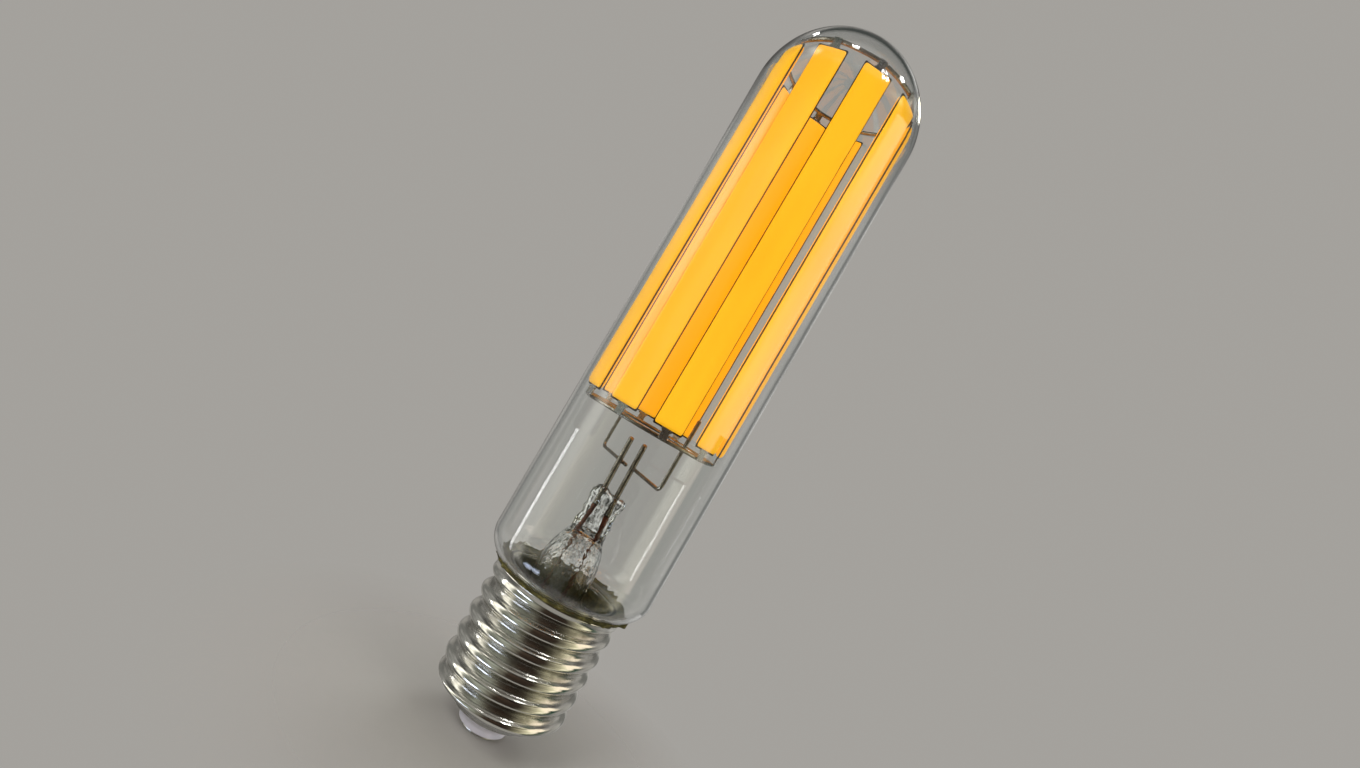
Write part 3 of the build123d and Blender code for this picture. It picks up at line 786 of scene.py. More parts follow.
@dataclass
class Mount:
    """The frame of stem, wires and cage, which leans a touch towards -X at its foot."""

    lean_degrees: float = 0.45
    pivot_z: float = 220.0

    def shift(self, z: float) -> float:
        """How far its axis stands from the lamp's axis at a height."""
        return -(self.pivot_z - z) * math.tan(math.radians(self.lean_degrees))

    def seat(self, point: Sequence[float]) -> Point:
        """Moves a point of the mount to its place in the lamp.

        Args:
            point: in the mount's own frame.

        Returns:
            The point in the lamp's frame.
        """
        angle = math.radians(self.lean_degrees)
        x, y, z = point
        rise = z - self.pivot_z
        return (x * math.cos(angle) + rise * math.sin(angle), y,
                self.pivot_z - x * math.sin(angle) + rise * math.cos(angle))

    def carry(self, skin: Skin) -> None:
        """Moves all of a skin's points from the mount's frame to the lamp's."""
        skin.points = [self.seat(point) for point in skin.points]


@dataclass
class GlassTube:
    """The blown tube: half-round dome, straight wall, rounded shoulder and drawn-in neck."""

    length: float = 223.6
    radius: float = 24.8
    wall: float = 1.0
    neck_radius: float = 16.0
    neck_fillet: float = 0.7
    neck_bottom: float = 36.0
    shelf: float = 44.8
    steps: int = 144

    @property
    def dome_z(self) -> float:
        """The height of the dome's centre."""
        return self.length - self.radius

    @property
    def shoulder_radius(self) -> float:
        """The radius of the shoulder's outer bend."""
        return self.radius - self.neck_radius - self.neck_fillet

    def underside(self, radius: float, gap: float = 0.0) -> float:
        """The height of the shoulder's outer face at a radius.

        Args:
            radius: distance from the axis.
            gap: how far below the face.

        Returns:
            The height.
        """
        bend = self.shoulder_radius
        start = self.radius - bend
        reach = min(max(radius - start, 0.0), bend)
        return self.shelf + bend - math.sqrt((bend + gap) ** 2 - reach**2)

    def wall_outline(self, inset: float) -> list[Spot]:
        """The outline of one face of the wall, from the neck's foot to the dome's top.

        Args:
            inset: how far inside the outer face.

        Returns:
            Radius and height of each point.
        """
        neck, tube = self.neck_radius - inset, self.radius - inset
        hollow, bend = self.neck_fillet + inset, self.shoulder_radius - inset
        shelf = self.shelf + inset
        low = shelf + bend
        points = [(neck, self.neck_bottom + (shelf - hollow - self.neck_bottom) * t / RUN_STEPS)
                  for t in range(RUN_STEPS)]
        points += bow((neck + hollow, shelf - hollow), hollow, range(180, 89, -15))
        points += bow((tube - bend, shelf + bend), bend, range(-90, 1, 6))
        points += [(tube, low + (self.dome_z - low) * t / 12) for t in range(1, 12)]
        points += bow((0.0, self.dome_z), tube, range(0, 90, 3))
        return points + [(0.0, self.dome_z + tube)]

    def build(self) -> None:
        """Makes the tube's outer and inner faces as one skin."""
        skin = Skin()
        outer = self.wall_outline(0.0)
        inner = self.wall_outline(self.wall)
        rim = self.neck_radius - self.wall / 2
        skin.turn([*outer[::-1], (rim, self.neck_bottom - 0.15), *inner], self.steps, closed=False)
        settle(skin, "blown_tube", Finishes.TUBE, "glass_envelope")


@dataclass
class ScrewCap:
    """The screw shell with its rolled thread, the insulator and the end contact."""

    crest: float = 19.65
    depth: float = 1.85
    pitch: float = 6.35
    phase: float = 6.4
    sheet: float = 0.45
    rim_z: float = 44.7
    rim_radius: float = 20.2
    collar_radius: float = 19.4
    collar_height: float = 3.1
    flare_height: float = 2.0
    heel_z: float = 8.9
    heel_radius: float = 16.2
    heel_step: float = 0.7
    heel_rise: float = 4.6
    seat_z: float = 5.6
    seat_radius: float = 11.6
    seat_lip: float = 0.6
    boss_radius: float = 7.4
    boss_top: float = 10.2
    contact_radius: float = 6.4
    contact_thickness: float = 0.8
    steps: int = 180
    row_height: float = 0.24

    @property
    def root(self) -> float:
        """The thread's least radius."""
        return self.crest - self.depth

    def thread_radius(self, degrees: float, z: float) -> float:
        """The rolled thread's radius: two tangent arcs over half a pitch.

        Args:
            degrees: angle round the lamp.
            z: height.

        Returns:
            The radius.
        """
        bend = (self.depth**2 + self.pitch**2 / 4) / (4 * self.depth)
        turn = ((z - self.phase) / self.pitch - (degrees - 90) / 360) % 1.0
        rise = min(turn, 1 - turn) * self.pitch
        if rise <= self.pitch / 4:
            return self.crest - bend + math.sqrt(bend**2 - rise**2)
        return self.root + bend - math.sqrt(bend**2 - (self.pitch / 2 - rise) ** 2)

    def heel_limit(self, z: float) -> float:
        """How far out the shell may stand over its rounded heel."""
        share = min(1.0, max(0.0, (z - self.heel_z) / self.heel_rise))
        return self.heel_radius + (self.crest + 0.5 - self.heel_radius) * (1 - (1 - share) ** 2.2)

    def shell_radius(self, degrees: float, z: float) -> float:
        """The shell's outer radius above its heel.

        Args:
            degrees: angle round the lamp.
            z: height.

        Returns:
            The radius.
        """
        thread = soft_min(self.thread_radius(degrees, z), self.heel_limit(z), 0.5)
        collar_z = self.rim_z - self.collar_height
        plain = self.collar_radius
        flare = fade(self.rim_z - self.flare_height, self.rim_z + 0.6, z)
        plain += (self.rim_radius - self.collar_radius) * flare * 1.15
        share = fade(collar_z - 0.5, collar_z + 0.9, z)
        dent = 0.035 * ripple(polar(self.root, degrees, z), 5.0, 3.1)
        return thread + (plain - thread) * share + dent

    def shell_rows(self) -> list[list[Point]]:
        """The rows of points of the shell's outer face, from its lip to its rim."""
        slope_r = self.heel_radius - self.heel_step
        foot = [(self.seat_radius - self.seat_lip, self.seat_z + 0.12),
                (self.seat_radius - 0.3, self.seat_z),
                (self.seat_radius, self.seat_z + 0.04)]
        foot += [(self.seat_radius + (slope_r - self.seat_radius) * t / RUN_STEPS,
                  self.seat_z + (self.heel_z - self.seat_z) * (t / RUN_STEPS) ** 1.15)
                 for t in range(1, RUN_STEPS + 1)]
        foot += [(slope_r + 0.05, self.heel_z - 0.02), (self.heel_radius - 0.15, self.heel_z + 0.02)]
        rows = [[polar(radius, 360 * i / self.steps, z) for i in range(self.steps)] for radius, z in foot]
        count = round((self.rim_z - self.heel_z - 0.15) / self.row_height)
        for index in range(count + 1):
            z = self.heel_z + 0.15 + (self.rim_z - self.heel_z - 0.15) * index / count
            rows.append([polar(self.shell_radius(360 * i / self.steps, z), 360 * i / self.steps, z)
                         for i in range(self.steps)])
        return rows

    def build_shell(self) -> None:
        """Makes the thin sheet: its outer face, its rolled edge and its inner face."""
        outer = self.shell_rows()
        inner = [[drawn_in(point, self.sheet, self.sheet * fade(self.heel_z + 3, self.heel_z, point[2]))
                  for point in row] for row in outer]
        edge = [drawn_in(point, self.sheet / 2, 0.12) for point in outer[-1]]
        skin = Skin()
        skin.stack([*outer, edge, *inner[::-1]], closed=True)
        settle(skin, "screw_shell", Finishes.NICKEL, "cap_shell")

    def build_insulator(self) -> None:
        """Makes the white boss that the contact sits in."""
        bore = self.seat_radius - self.seat_lip - 0.05
        low = self.contact_thickness + 0.05
        outline = [(2.45, low), (self.boss_radius - 0.5, low), (self.boss_radius - 0.12, low + 0.12),
                   (self.boss_radius, low + 0.5), (self.boss_radius + 0.02, 2.2)]
        for step in range(1, 9):
            share = step / 8
            outline.append((self.boss_radius + 0.02 + (bore - self.boss_radius - 0.02) * share**1.6,
                            2.2 + (self.seat_z - 2.3) * share))
        seat = self.seat_z + self.sheet + 0.05
        outline += [(bore, seat), (self.seat_radius - self.sheet, seat), (14.0, self.heel_z),
                    (14.0, self.boss_top), (7.5, self.boss_top), (6.0, 3.5), (2.45, 3.5)]
        skin = Skin()
        skin.turn(outline, 96)
        settle(skin, "insulator_boss", Finishes.INSULATOR, "cap_insulator", sharp=38)

    def build_contact(self) -> None:
        """Makes the contact disc with its turned ring and the soldered middle."""
        radius, top = self.contact_radius, self.contact_thickness
        outline = [(0.0, 0.16), (0.9, 0.12), (1.35, 0.3), (1.6, 0.34), (1.9, 0.1), (2.2, 0.0),
                   (radius - 0.3, 0.0), (radius - 0.08, 0.08), (radius, 0.3), (radius, top - 0.05),
                   (radius - 0.05, top), (2.4, top), (2.4, 2.1), (0.0, 2.1)]
        skin = Skin()
        skin.turn(outline, 72, closed=False)
        settle(skin, "contact_disc", Finishes.CONTACT, "end_contact", sharp=50)

    def build(self) -> None:
        """Makes every piece of the cap."""
        self.build_shell()
        self.build_insulator()
        self.build_contact()


@dataclass
class CementRing:
    """The baked cement between neck and shell, squeezed out at the rim and up the shoulder."""

    tube: GlassTube
    cap: ScrewCap
    gap: float = 0.06
    low_z: float = 37.1
    plug_radius: float = 17.0
    ledge_z: float = 42.1
    collar_radius: float = 18.88
    reach: float = 20.5
    unevenness: float = 1.5
    crumbs: int = 90
    steps: int = 240

    def edge(self, degrees: float) -> float:
        """How far out the cement crept along the shoulder."""
        spot = polar(20.0, degrees)
        return self.reach + self.unevenness * (ripple(spot, 3.4, 1.3) + 0.55 * ripple(spot, 1.2, 7.7))

    def column(self, degrees: float) -> list[Point]:
        """The section of the ring at one angle, as a closed loop.

        Args:
            degrees: angle round the lamp.

        Returns:
            Its points.
        """
        neck = self.tube.neck_radius + self.gap
        hollow = self.tube.neck_fillet
        shelf = self.tube.shelf
        section = [(neck, self.low_z), (neck, 39.5), (neck, 42.0), (neck, shelf - hollow)]
        section += [(radius + self.gap, z) for radius, z in bow(
            (self.tube.neck_radius + hollow, shelf - hollow), hollow - self.gap, (150, 120, 95))]
        edge = self.edge(degrees)
        for share in (0.1, 0.3, 0.5, 0.7, 0.85, 0.95, 1.0):
            radius = neck + hollow + (edge - neck - hollow) * share
            section.append((radius, self.tube.underside(radius, self.gap)))
        rim, rim_z = self.cap.rim_radius, self.cap.rim_z
        brink = section[-1]
        outside = rim + 0.1 + 0.3 * ripple(polar(20.0, degrees), 2.0, 4.2)
        section += [(max(brink[0] - 0.1, outside - 0.1), rim_z + 0.28), (outside, rim_z + 0.16),
                    (rim - 0.35, rim_z + 0.05), (rim - 0.8, rim_z - 0.5),
                    (self.collar_radius, rim_z - 2.0), (self.collar_radius, self.ledge_z),
                    (self.plug_radius, self.ledge_z), (self.plug_radius, self.low_z)]
        return [polar(radius, degrees, z) for radius, z in section]

    def build(self) -> None:
        """Makes the ring and the crumbs that stick to its rim."""
        skin = Skin()
        columns = [self.column(360 * index / self.steps) for index in range(self.steps)]
        skin.stack(columns, closed=True)
        for index in range(self.crumbs):
            degrees = 360 * (index + 0.8 * ripple((index * 3.3, 0, 0), 1.0)) / self.crumbs
            size = 0.26 + 0.16 * ripple((index * 1.9, 4, 0), 1.0)
            radius = self.cap.rim_radius - 0.15 + 0.3 * ripple((index * 2.7, 0, 9), 1.0)
            skin.blob(polar(radius, degrees, self.cap.rim_z + 0.22 + size * 0.3), (size, size, size * 0.7),
                      8, index * 0.37, 0.5)
        settle(skin, "cement_ring", Finishes.CEMENT, "cap_cement")


@dataclass
class GlassStem:
    """The flare, the stem tube and the press that holds the wires, with the pumping tube inside."""

    mount: Mount
    foot_z: float = 36.0
    rim_radius: float = 14.95
    tube_radius: float = 8.5
    wall: float = 0.9
    flare_height: float = 11.0
    tube_top: float = 48.0
    outer_keys: Rows = (
        (51.0, 8.35, 8.3, 2.0), (54.0, 7.85, 7.6, 2.0), (56.8, 7.1, 6.5, 2.0), (59.2, 6.1, 4.9, 2.2),
        (61.2, 5.3, 3.5, 2.5), (63.2, 4.95, 2.8, 2.7), (66.9, 4.7, 2.4, 2.8), (69.6, 4.85, 2.35, 2.8),
        (71.2, 5.35, 2.5, 2.6), (72.4, 5.5, 2.55, 2.4), (73.5, 5.1, 2.2, 2.2), (74.2, 4.2, 1.5, 2.0))
    inner_keys: Rows = (
        (51.0, 7.45, 7.4), (54.0, 6.95, 6.7), (56.8, 6.1, 5.5), (58.7, 5.0, 3.8), (59.8, 3.6, 2.3),
        (60.4, 2.2, 1.2))
    pumping_outline: Rows = (
        (0.0, 26.55), (0.5, 26.8), (1.1, 27.5), (1.7, 28.7), (2.1, 30.2), (2.1, 36.0), (2.1, 48.0),
        (2.1, 59.3), (1.8, 59.5), (1.55, 59.3), (1.55, 48.0), (1.55, 36.0), (1.55, 30.6), (1.0, 29.2),
        (0.3, 28.3), (0.0, 28.1))
    crown_z: float = 71.5
    steps: int = 72
    bubbles: int = 9

    def flare_keys(self, inset: float) -> list[tuple[float, float, float]]:
        """Height and half widths up the flare and the tube.

        Args:
            inset: how far inside the outer face.

        Returns:
            The rows.
        """
        rows = []
        for step in range(13):
            share = step / 12
            radius = self.tube_radius + (self.rim_radius - self.tube_radius) * (1 - share) ** 2.6 - inset
            rows.append((self.foot_z + self.flare_height * share, radius, radius))
        rows.append((self.tube_top, self.tube_radius - inset, self.tube_radius - inset))
        return rows

    def oval(self, z: float, half_x: float, half_y: float, square: float = 2.0) -> list[Point]:
        """One level row of the stem.

        Args:
            z: its height.
            half_x: half its width.
            half_y: half its thickness.
            square: 2 for an oval, more for one with flatter sides.

        Returns:
            The row of points.
        """
        share = min(1.0, max(0.0, (z - self.foot_z) / self.flare_height))
        shift = self.mount.shift(z) * (1 - (1 - share) ** 2)
        pinch = fade(57.5, 62.0, z)
        row = []
        for index in range(self.steps):
            angle = 2 * math.pi * index / self.steps
            cos, sin = math.cos(angle), math.sin(angle)
            x = half_x * math.copysign(abs(cos) ** (2 / square), cos)
            y = half_y * math.copysign(abs(sin) ** (2 / square), sin)
            swell = 1 + pinch * (0.15 * ripple((x, y, z), 2.6, 2.0) + 0.09 * ripple((x, y, z), 1.1, 5.0))
            lift = 1.1 * math.exp(-(((x + 2.4) / 1.7) ** 2)) - 0.5 * math.exp(-(((x - 2.0) / 1.5) ** 2))
            row.append((x * swell + shift, y * swell, z + lift * fade(self.crown_z, self.crown_z + 2.5, z)))
        return row

    def build_glass(self) -> None:
        """Makes the stem with its hollow, and the small bubbles caught in the press."""
        radius, inset = self.tube_radius, self.wall
        outer_keys = [(self.tube_top, radius, radius, 2.0), *self.outer_keys]
        outer = [self.oval(*row) for row in smooth_rows(self.flare_keys(0.0), 2)[:-1]]
        outer += [self.oval(*row) for row in smooth_rows(outer_keys, 4)]
        outer.append([(self.mount.shift(74.3), 0.0, 74.25)])
        inner_keys = [(self.tube_top, radius - inset, radius - inset), *self.inner_keys]
        inner = [self.oval(*row) for row in smooth_rows(self.flare_keys(inset), 2)[:-1]]
        inner += [self.oval(*row) for row in smooth_rows(inner_keys, 4)]
        inner.append([(self.mount.shift(60.6), 0.0, 60.7)])
        skin = Skin()
        skin.stack([*outer[::-1], *inner])
        skin.voids_from = len(skin.faces)
        for index in range(self.bubbles):
            size = 0.26 + 0.14 * ripple((index * 2.3, 1, 0), 1.0)
            spot = (3.4 * ripple((index * 1.3, 5, 0), 1.0) * 1.6 + self.mount.shift(64),
                    -0.8 + 0.8 * ripple((index * 4.1, 0, 2), 1.0), 61.8 + 1.1 * index * 0.9)
            skin.blob(spot, (size, size * 0.8, size * 1.3), 10)
        settle(skin, "stem_and_press", Finishes.STEM, "stem_glass")

    def build_pumping_tube(self) -> None:
        """Makes the thin tube inside, melted shut to a point."""
        skin = Skin()
        skin.turn(self.pumping_outline, 40, self.mount.seat, closed=False)
        settle(skin, "pumping_tube", Finishes.PUMPING, "exhaust_tube")

    def build(self) -> None:
        """Makes the stem and the pumping tube."""
        self.build_glass()
        self.build_pumping_tube()


@dataclass
class MountWires:
    """The leads, the sealed wires, the thin tails and the two feed wires."""

    mount: Mount
    lead_radius: float = 0.8
    spacing: float = 4.36
    top_drift: float = -0.65
    left_foot: float = 69.5
    right_foot: float = 68.0
    top_z: float = 90.6
    seal_radius: float = 0.55
    seal_spread: float = 5.5
    seal_foot: float = 60.6
    tail_radius: float = 0.3
    tail_splay: float = 0.6
    tail_drop_z: float = 34.5
    tail_end: Point = (10.6, -1.0, 11.47)
    tail_knee: float = 6.0
    tail_bend: float = 2.0
    feed_radius: float = 0.54
    feed_at: float = 19.305
    feed_z: float = 83.4
    front_degrees: float = 33.0
    front_overshoot: float = 8.6
    back_degrees: float = -150.0
    back_overshoot: float = 0.4
    cut_end: float = 2.2
    ring_z: float = 95.6
    bend: float = 1.6

    def foot(self, side: int) -> Point:
        """The foot of a lead, left for -1 and right for 1."""
        return (side * self.spacing / 2, 0.0, self.left_foot if side < 0 else self.right_foot)

    def on_lead(self, side: int, z: float) -> Vector:
        """A point on a lead's axis.

        Args:
            side: -1 for the left lead and 1 for the right.
            z: height.

        Returns:
            The point, in the mount's frame.
        """
        foot = self.foot(side)
        share = (z - foot[2]) / (self.top_z - foot[2])
        return Vector((foot[0] + self.top_drift * share, 0.0, z))

    def lay(self, name: str, corners: Sequence[Point], radius: Callable[[float], float] | float,
            finish: Finish, node: str, bend: float = 1.0, seated: bool = True,
            blobs: Sequence[tuple[Point, Point]] = ()) -> None:
        """Makes one wire.

        Args:
            name: the piece's name.
            corners: the points it is bent towards.
            radius: its radius.
            finish: its finish.
            node: the CAD node that it replaces.
            bend: radius of its bends.
            seated: whether the points are in the mount's frame.
            blobs: middle and half widths of each weld on it.
        """
        path = bent_path(corners, bend)
        fine = [path[0]]
        for start, end in zip(path, path[1:]):
            steps = max(1, round((end - start).length / 1.5))
            fine += [start.lerp(end, step / steps) for step in range(1, steps + 1)]
        wander = [point + 0.05 * Vector((ripple(point, 7.0, 1.0), ripple(point, 7.0, 9.0), 0))
                  for point in fine]
        skin = Skin()
        skin.wire(wander, radius)
        for centre, size in blobs:
            skin.blob(centre, size, 12, centre[0], 0.12)
        if seated:
            self.mount.carry(skin)
        settle(skin, name, finish, node)

    def build_leads(self) -> None:
        """Makes both thick leads, their sealed wires and the thin tails."""
        for side, word in ((-1, "left"), (1, "right")):
            foot, seal = self.foot(side), (side * self.seal_spread / 2, 0.0, self.seal_foot)
            knot = (foot[0], 0.0, foot[2] - 0.1)
            self.lay(f"lead_{word}", [foot, tuple(self.on_lead(side, self.top_z))], self.lead_radius,
                     Finishes.WIRE, f"lead_wire_{word}")
            self.lay(f"seal_{word}", [seal, (foot[0], 0.0, foot[2] - 0.02)],
                     lambda share: self.seal_radius * (1 + 0.35 * fade(0.86, 0.98, share)),
                     Finishes.SEAL, f"seal_wire_{word}", blobs=[(knot, (0.78, 0.78, 0.85))])
            start = self.mount.seat((seal[0], 0.0, seal[2] - 0.32))
            drop = self.mount.seat((seal[0] + side * self.tail_splay, 0.0, self.tail_drop_z))
            x, y, z = self.tail_end
            end = (side * x, side * y, z)
            self.lay(f"tail_{word}", [start, drop, (end[0], end[1], end[2] + self.tail_knee), end],
                     self.tail_radius, Finishes.COPPER, f"outer_lead_{word}", self.tail_bend, False)

    def build_feeds(self) -> None:
        """Makes the two bent wires from the leads to the lower ring, with their welds."""
        bend = Vector(polar(self.feed_at, self.front_degrees, self.feed_z))
        lead = self.on_lead(1, self.feed_z)
        run = (bend - lead).normalized()
        start = lead + run * (self.lead_radius - 0.1)
        top = polar(self.feed_at, self.front_degrees, self.ring_z + self.front_overshoot)
        weld = tuple(lead + run * (self.lead_radius + 0.1))
        touch = polar(self.feed_at + 0.35, self.front_degrees, self.ring_z)
        self.lay("feed_front", [tuple(start), tuple(bend), top], self.feed_radius, Finishes.WIRE,
                 "feed_wire_front", self.bend,
                 blobs=[(weld, (0.55, 0.6, 0.62)), (touch, (0.55, 0.45, 0.62))])
        bend = Vector(polar(self.feed_at, self.back_degrees, self.feed_z))
        lead = self.on_lead(-1, self.feed_z)
        behind = self.lead_radius + self.feed_radius + 0.02
        reach = math.hypot(bend.x - lead.x, bend.y)
        heading = math.atan2(bend.y, bend.x - lead.x) + math.asin(behind / reach)
        run = Vector((math.cos(heading), math.sin(heading), 0.0))
        touch = lead + Vector((run.y, -run.x, 0.0)) * behind
        start = touch - run * self.cut_end
        top = polar(self.feed_at, self.back_degrees, self.ring_z + self.back_overshoot)
        weld = tuple(touch.lerp(lead, 0.35))
        joint = polar(self.feed_at + 0.35, self.back_degrees, self.ring_z)
        self.lay("feed_back", [tuple(start), tuple(bend), top], self.feed_radius, Finishes.WIRE,
                 "feed_wire_back", self.bend,
                 blobs=[(weld, (0.6, 0.5, 0.62)), (joint, (0.5, 0.5, 0.6))])

    def build(self) -> None:
        """Makes all the wires."""
        self.build_leads()
        self.build_feeds()


@dataclass
class FilamentCage:
    """Ten flat filaments round two rings."""

    mount: Mount
    count: int = 10
    first: float = -168.5
    ring_radius: float = 20.3
    wire_radius: float = 0.58
    lower_z: float = 95.6
    upper_z: float = 209.29
    split: float = -76.6
    split_gap: float = 1.6
    flatness: float = 0.3
    seat_radius: float = 20.82
    width: float = 8.5
    thickness: float = 0.4
    tab_width: float = 2.3
    tab_length: float = 2.5
    bead_height: float = 1.05
    side_margin: float = 0.2
    end_margin: float = 0.45
    end_levels: tuple[float, ...] = (0.0, 0.04, 0.15, 0.35, 0.65, 1.0, 1.5, 2.2)
    run_levels: int = 44
    end_rise: float = 1.5
    corner: float = 0.55
    corner_length: float = 0.9
    bead_columns: int = 16

    def ring_path(self, z: float, start: float, sweep: float) -> list[Vector]:
        """The centre line of a ring wire, nearly straight between the filaments.

        Args:
            z: its height.
            start: the angle where it starts.
            sweep: how far round it goes.

        Returns:
            Points along it.
        """
        pitch = 360 / self.count
        steps = round(sweep / 3)
        path = []
        for step in range(steps + 1):
            degrees = start + sweep * step / steps
            off = (degrees - self.first + pitch / 2) % pitch - pitch / 2
            chord = math.cos(math.radians(pitch / 2)) / math.cos(math.radians(pitch / 2 - abs(off)))
            radius = self.ring_radius * (1 - self.flatness * (1 - chord))
            wave = 0.12 * ripple(polar(9.0, degrees, z), 4.0, 2.2)
            path.append(Vector(polar(radius, degrees, z + wave)))
        return path

    def build_rings(self) -> None:
        """Makes the two halves of the lower ring and the whole upper ring."""
        gap = math.degrees(self.split_gap / self.ring_radius)
        halves = (("ring_low_front", "lower_ring_front", 0), ("ring_low_back", "lower_ring_back", 180))
        for name, node, turn in halves:
            skin = Skin()
            skin.wire(self.ring_path(self.lower_z, self.split + turn + gap / 2, 180 - gap), self.wire_radius)
            self.mount.carry(skin)
            settle(skin, name, Finishes.WIRE, node)
        skin = Skin()
        path = self.ring_path(self.upper_z, self.first + 180 / self.count, 359.0)
        skin.wire(path, self.wire_radius)
        skin.blob(tuple(path[0].lerp(path[-1], 0.5)), (0.6, 0.6, 0.62), 12, 1.0, 0.15)
        self.mount.carry(skin)
        settle(skin, "ring_top", Finishes.WIRE, "upper_ring")

    def seat(self, degrees: float, across: float, outward: float, z: float) -> Point:
        """A point of one filament in the mount's frame.

        Args:
            degrees: the filament's angle.
            across: distance from its middle line.
            outward: distance out from its inner face.
            z: height.

        Returns:
            The point.
        """
        angle = math.radians(degrees)
        depth = self.seat_radius + outward
        return (depth * math.sin(angle) + across * math.cos(angle),
                -depth * math.cos(angle) + across * math.sin(angle), z)

    def bead(self, skin: Skin, degrees: float, outward: float, way: int, seed: float) -> None:
        """Adds one crowned bead of phosphor with rounded ends.

        Args:
            skin: where it goes.
            degrees: the filament's angle.
            outward: where its flat face lies.
            way: 1 for the outer side and -1 for the inner side.
            seed: which of many patterns of unevenness.
        """
        half = self.width / 2 - self.side_margin
        low, high = self.span()
        columns, rows = self.bead_columns, []
        levels = [low + end for end in self.end_levels]
        run = high - low - 2 * self.end_levels[-1]
        levels += [levels[-1] + run * t / self.run_levels for t in range(1, self.run_levels)]
        levels += [high - end for end in reversed(self.end_levels)]
        for z in levels:
            near = min(z - low, high - z)
            rise, wide = (math.sqrt(max(0.0, 1 - (1 - min(near / length, 1.0)) ** 2))
                          for length in (self.end_rise, self.corner_length))
            narrow = self.corner * (1 - wide)
            edge = half - narrow + 0.05 * ripple((degrees, z, 0), 6.0, seed)
            row = [self.seat(degrees, -edge, outward, z)]
            for column in range(columns + 1):
                share = 2 * column / columns - 1
                share = math.copysign(1 - (1 - abs(share)) ** 1.35, share)
                crown = 0.30 + 0.70 * math.sqrt(max(0.0, 1 - share**2 * 0.98)) if abs(share) < 1 else 0.12
                height = self.bead_height * crown * (0.06 + 0.94 * rise)
                height *= 1 + 0.035 * ripple((degrees + share * 2.0, z, 0), 5.0, seed)
                row.append(self.seat(degrees, edge * share, outward + way * height, z))
            row.append(self.seat(degrees, edge, outward, z))
            rows.append(row)
        skin.stack(rows, plugged=True)

    def span(self) -> Spot:
        """The lowest and highest level of the phosphor."""
        margin = self.tab_length + self.end_margin
        return self.lower_z + margin, self.upper_z - margin

    def plate(self, skin: Skin, degrees: float, outline: Sequence[Spot], low: float,
              high: float) -> None:
        """Adds a flat plate cut to an outline, its edges eased.

        Args:
            skin: where it goes.
            degrees: the filament's angle.
            outline: across and height of each corner, in order.
            low: its inner face, outward from the seat.
            high: its outer face.
        """
        middle_x = sum(x for x, _ in outline) / len(outline)
        middle_z = sum(z for _, z in outline) / len(outline)
        ease = 0.06
        rows = []
        for depth, inset in ((low, ease), (low + ease, 0.0), (high - ease, 0.0), (high, ease)):
            rows.append([self.seat(degrees, x - math.copysign(inset, x - middle_x), depth,
                                   z - math.copysign(inset, z - middle_z)) for x, z in outline])
        skin.stack(rows, plugged=True)

    def build_substrate(self, number: int, degrees: float) -> None:
        """Makes a filament's ceramic plate, its corners nipped.

        Args:
            number: the filament's number.
            degrees: its angle.
        """
        half, nip = self.width / 2, 0.25
        low, high = self.lower_z + self.tab_length, self.upper_z - self.tab_length
        outline = [(-half + nip, low), (half - nip, low), (half, low + nip), (half, high - nip),
                   (half - nip, high), (-half + nip, high), (-half, high - nip), (-half, low + nip)]
        skin = Skin()
        self.plate(skin, degrees, outline, 0.0, self.thickness)
        self.mount.carry(skin)
        settle(skin, f"substrate_{number:02d}", Finishes.SUBSTRATE, f"filament_{number:02d}_substrate",
               sharp=30)

    def build_tabs(self, number: int, degrees: float) -> None:
        """Makes a filament's two end tabs: a strip crimped over the plate and welded to the ring.

        Args:
            number: the filament's number.
            degrees: its angle.
        """
        half, wing = self.tab_width / 2, self.tab_width / 2 + 0.45
        skin = Skin()
        for ring_z, way in ((self.lower_z, 1), (self.upper_z, -1)):
            end = ring_z + way * self.tab_length
            start = ring_z - way * 0.2
            outline = [(-half, start), (half, start), (half, end - way * 0.5), (wing, end - way * 0.2),
                       (wing, end + way * 0.42), (-wing, end + way * 0.42), (-wing, end - way * 0.2),
                       (-half, end - way * 0.5)]
            self.plate(skin, degrees, outline, -0.05, self.thickness + 0.05)
            weld = self.seat(degrees, 0.0, -0.1, ring_z)
            skin.blob(weld, (0.42, 0.42, 0.5), 10, degrees, 0.15)
        self.mount.carry(skin)
        settle(skin, f"tabs_{number:02d}", Finishes.TAB, f"filament_{number:02d}_tabs", sharp=30)

    def build_phosphor(self, number: int, degrees: float) -> None:
        """Makes a filament's outer and inner bead.

        Args:
            number: the filament's number.
            degrees: its angle.
        """
        skin = Skin()
        self.bead(skin, degrees, self.thickness, 1, number * 1.7)
        self.bead(skin, degrees, 0.0, -1, number * 2.9)
        self.mount.carry(skin)
        settle(skin, f"phosphor_{number:02d}", Finishes.PHOSPHOR, f"filament_{number:02d}_phosphor")

    def build(self) -> None:
        """Makes the rings and the filaments."""
        self.build_rings()
        for number in range(1, self.count + 1):
            degrees = self.first + 360 / self.count * (number - 1)
            self.build_substrate(number, degrees)
            self.build_tabs(number, degrees)
            self.build_phosphor(number, degrees)


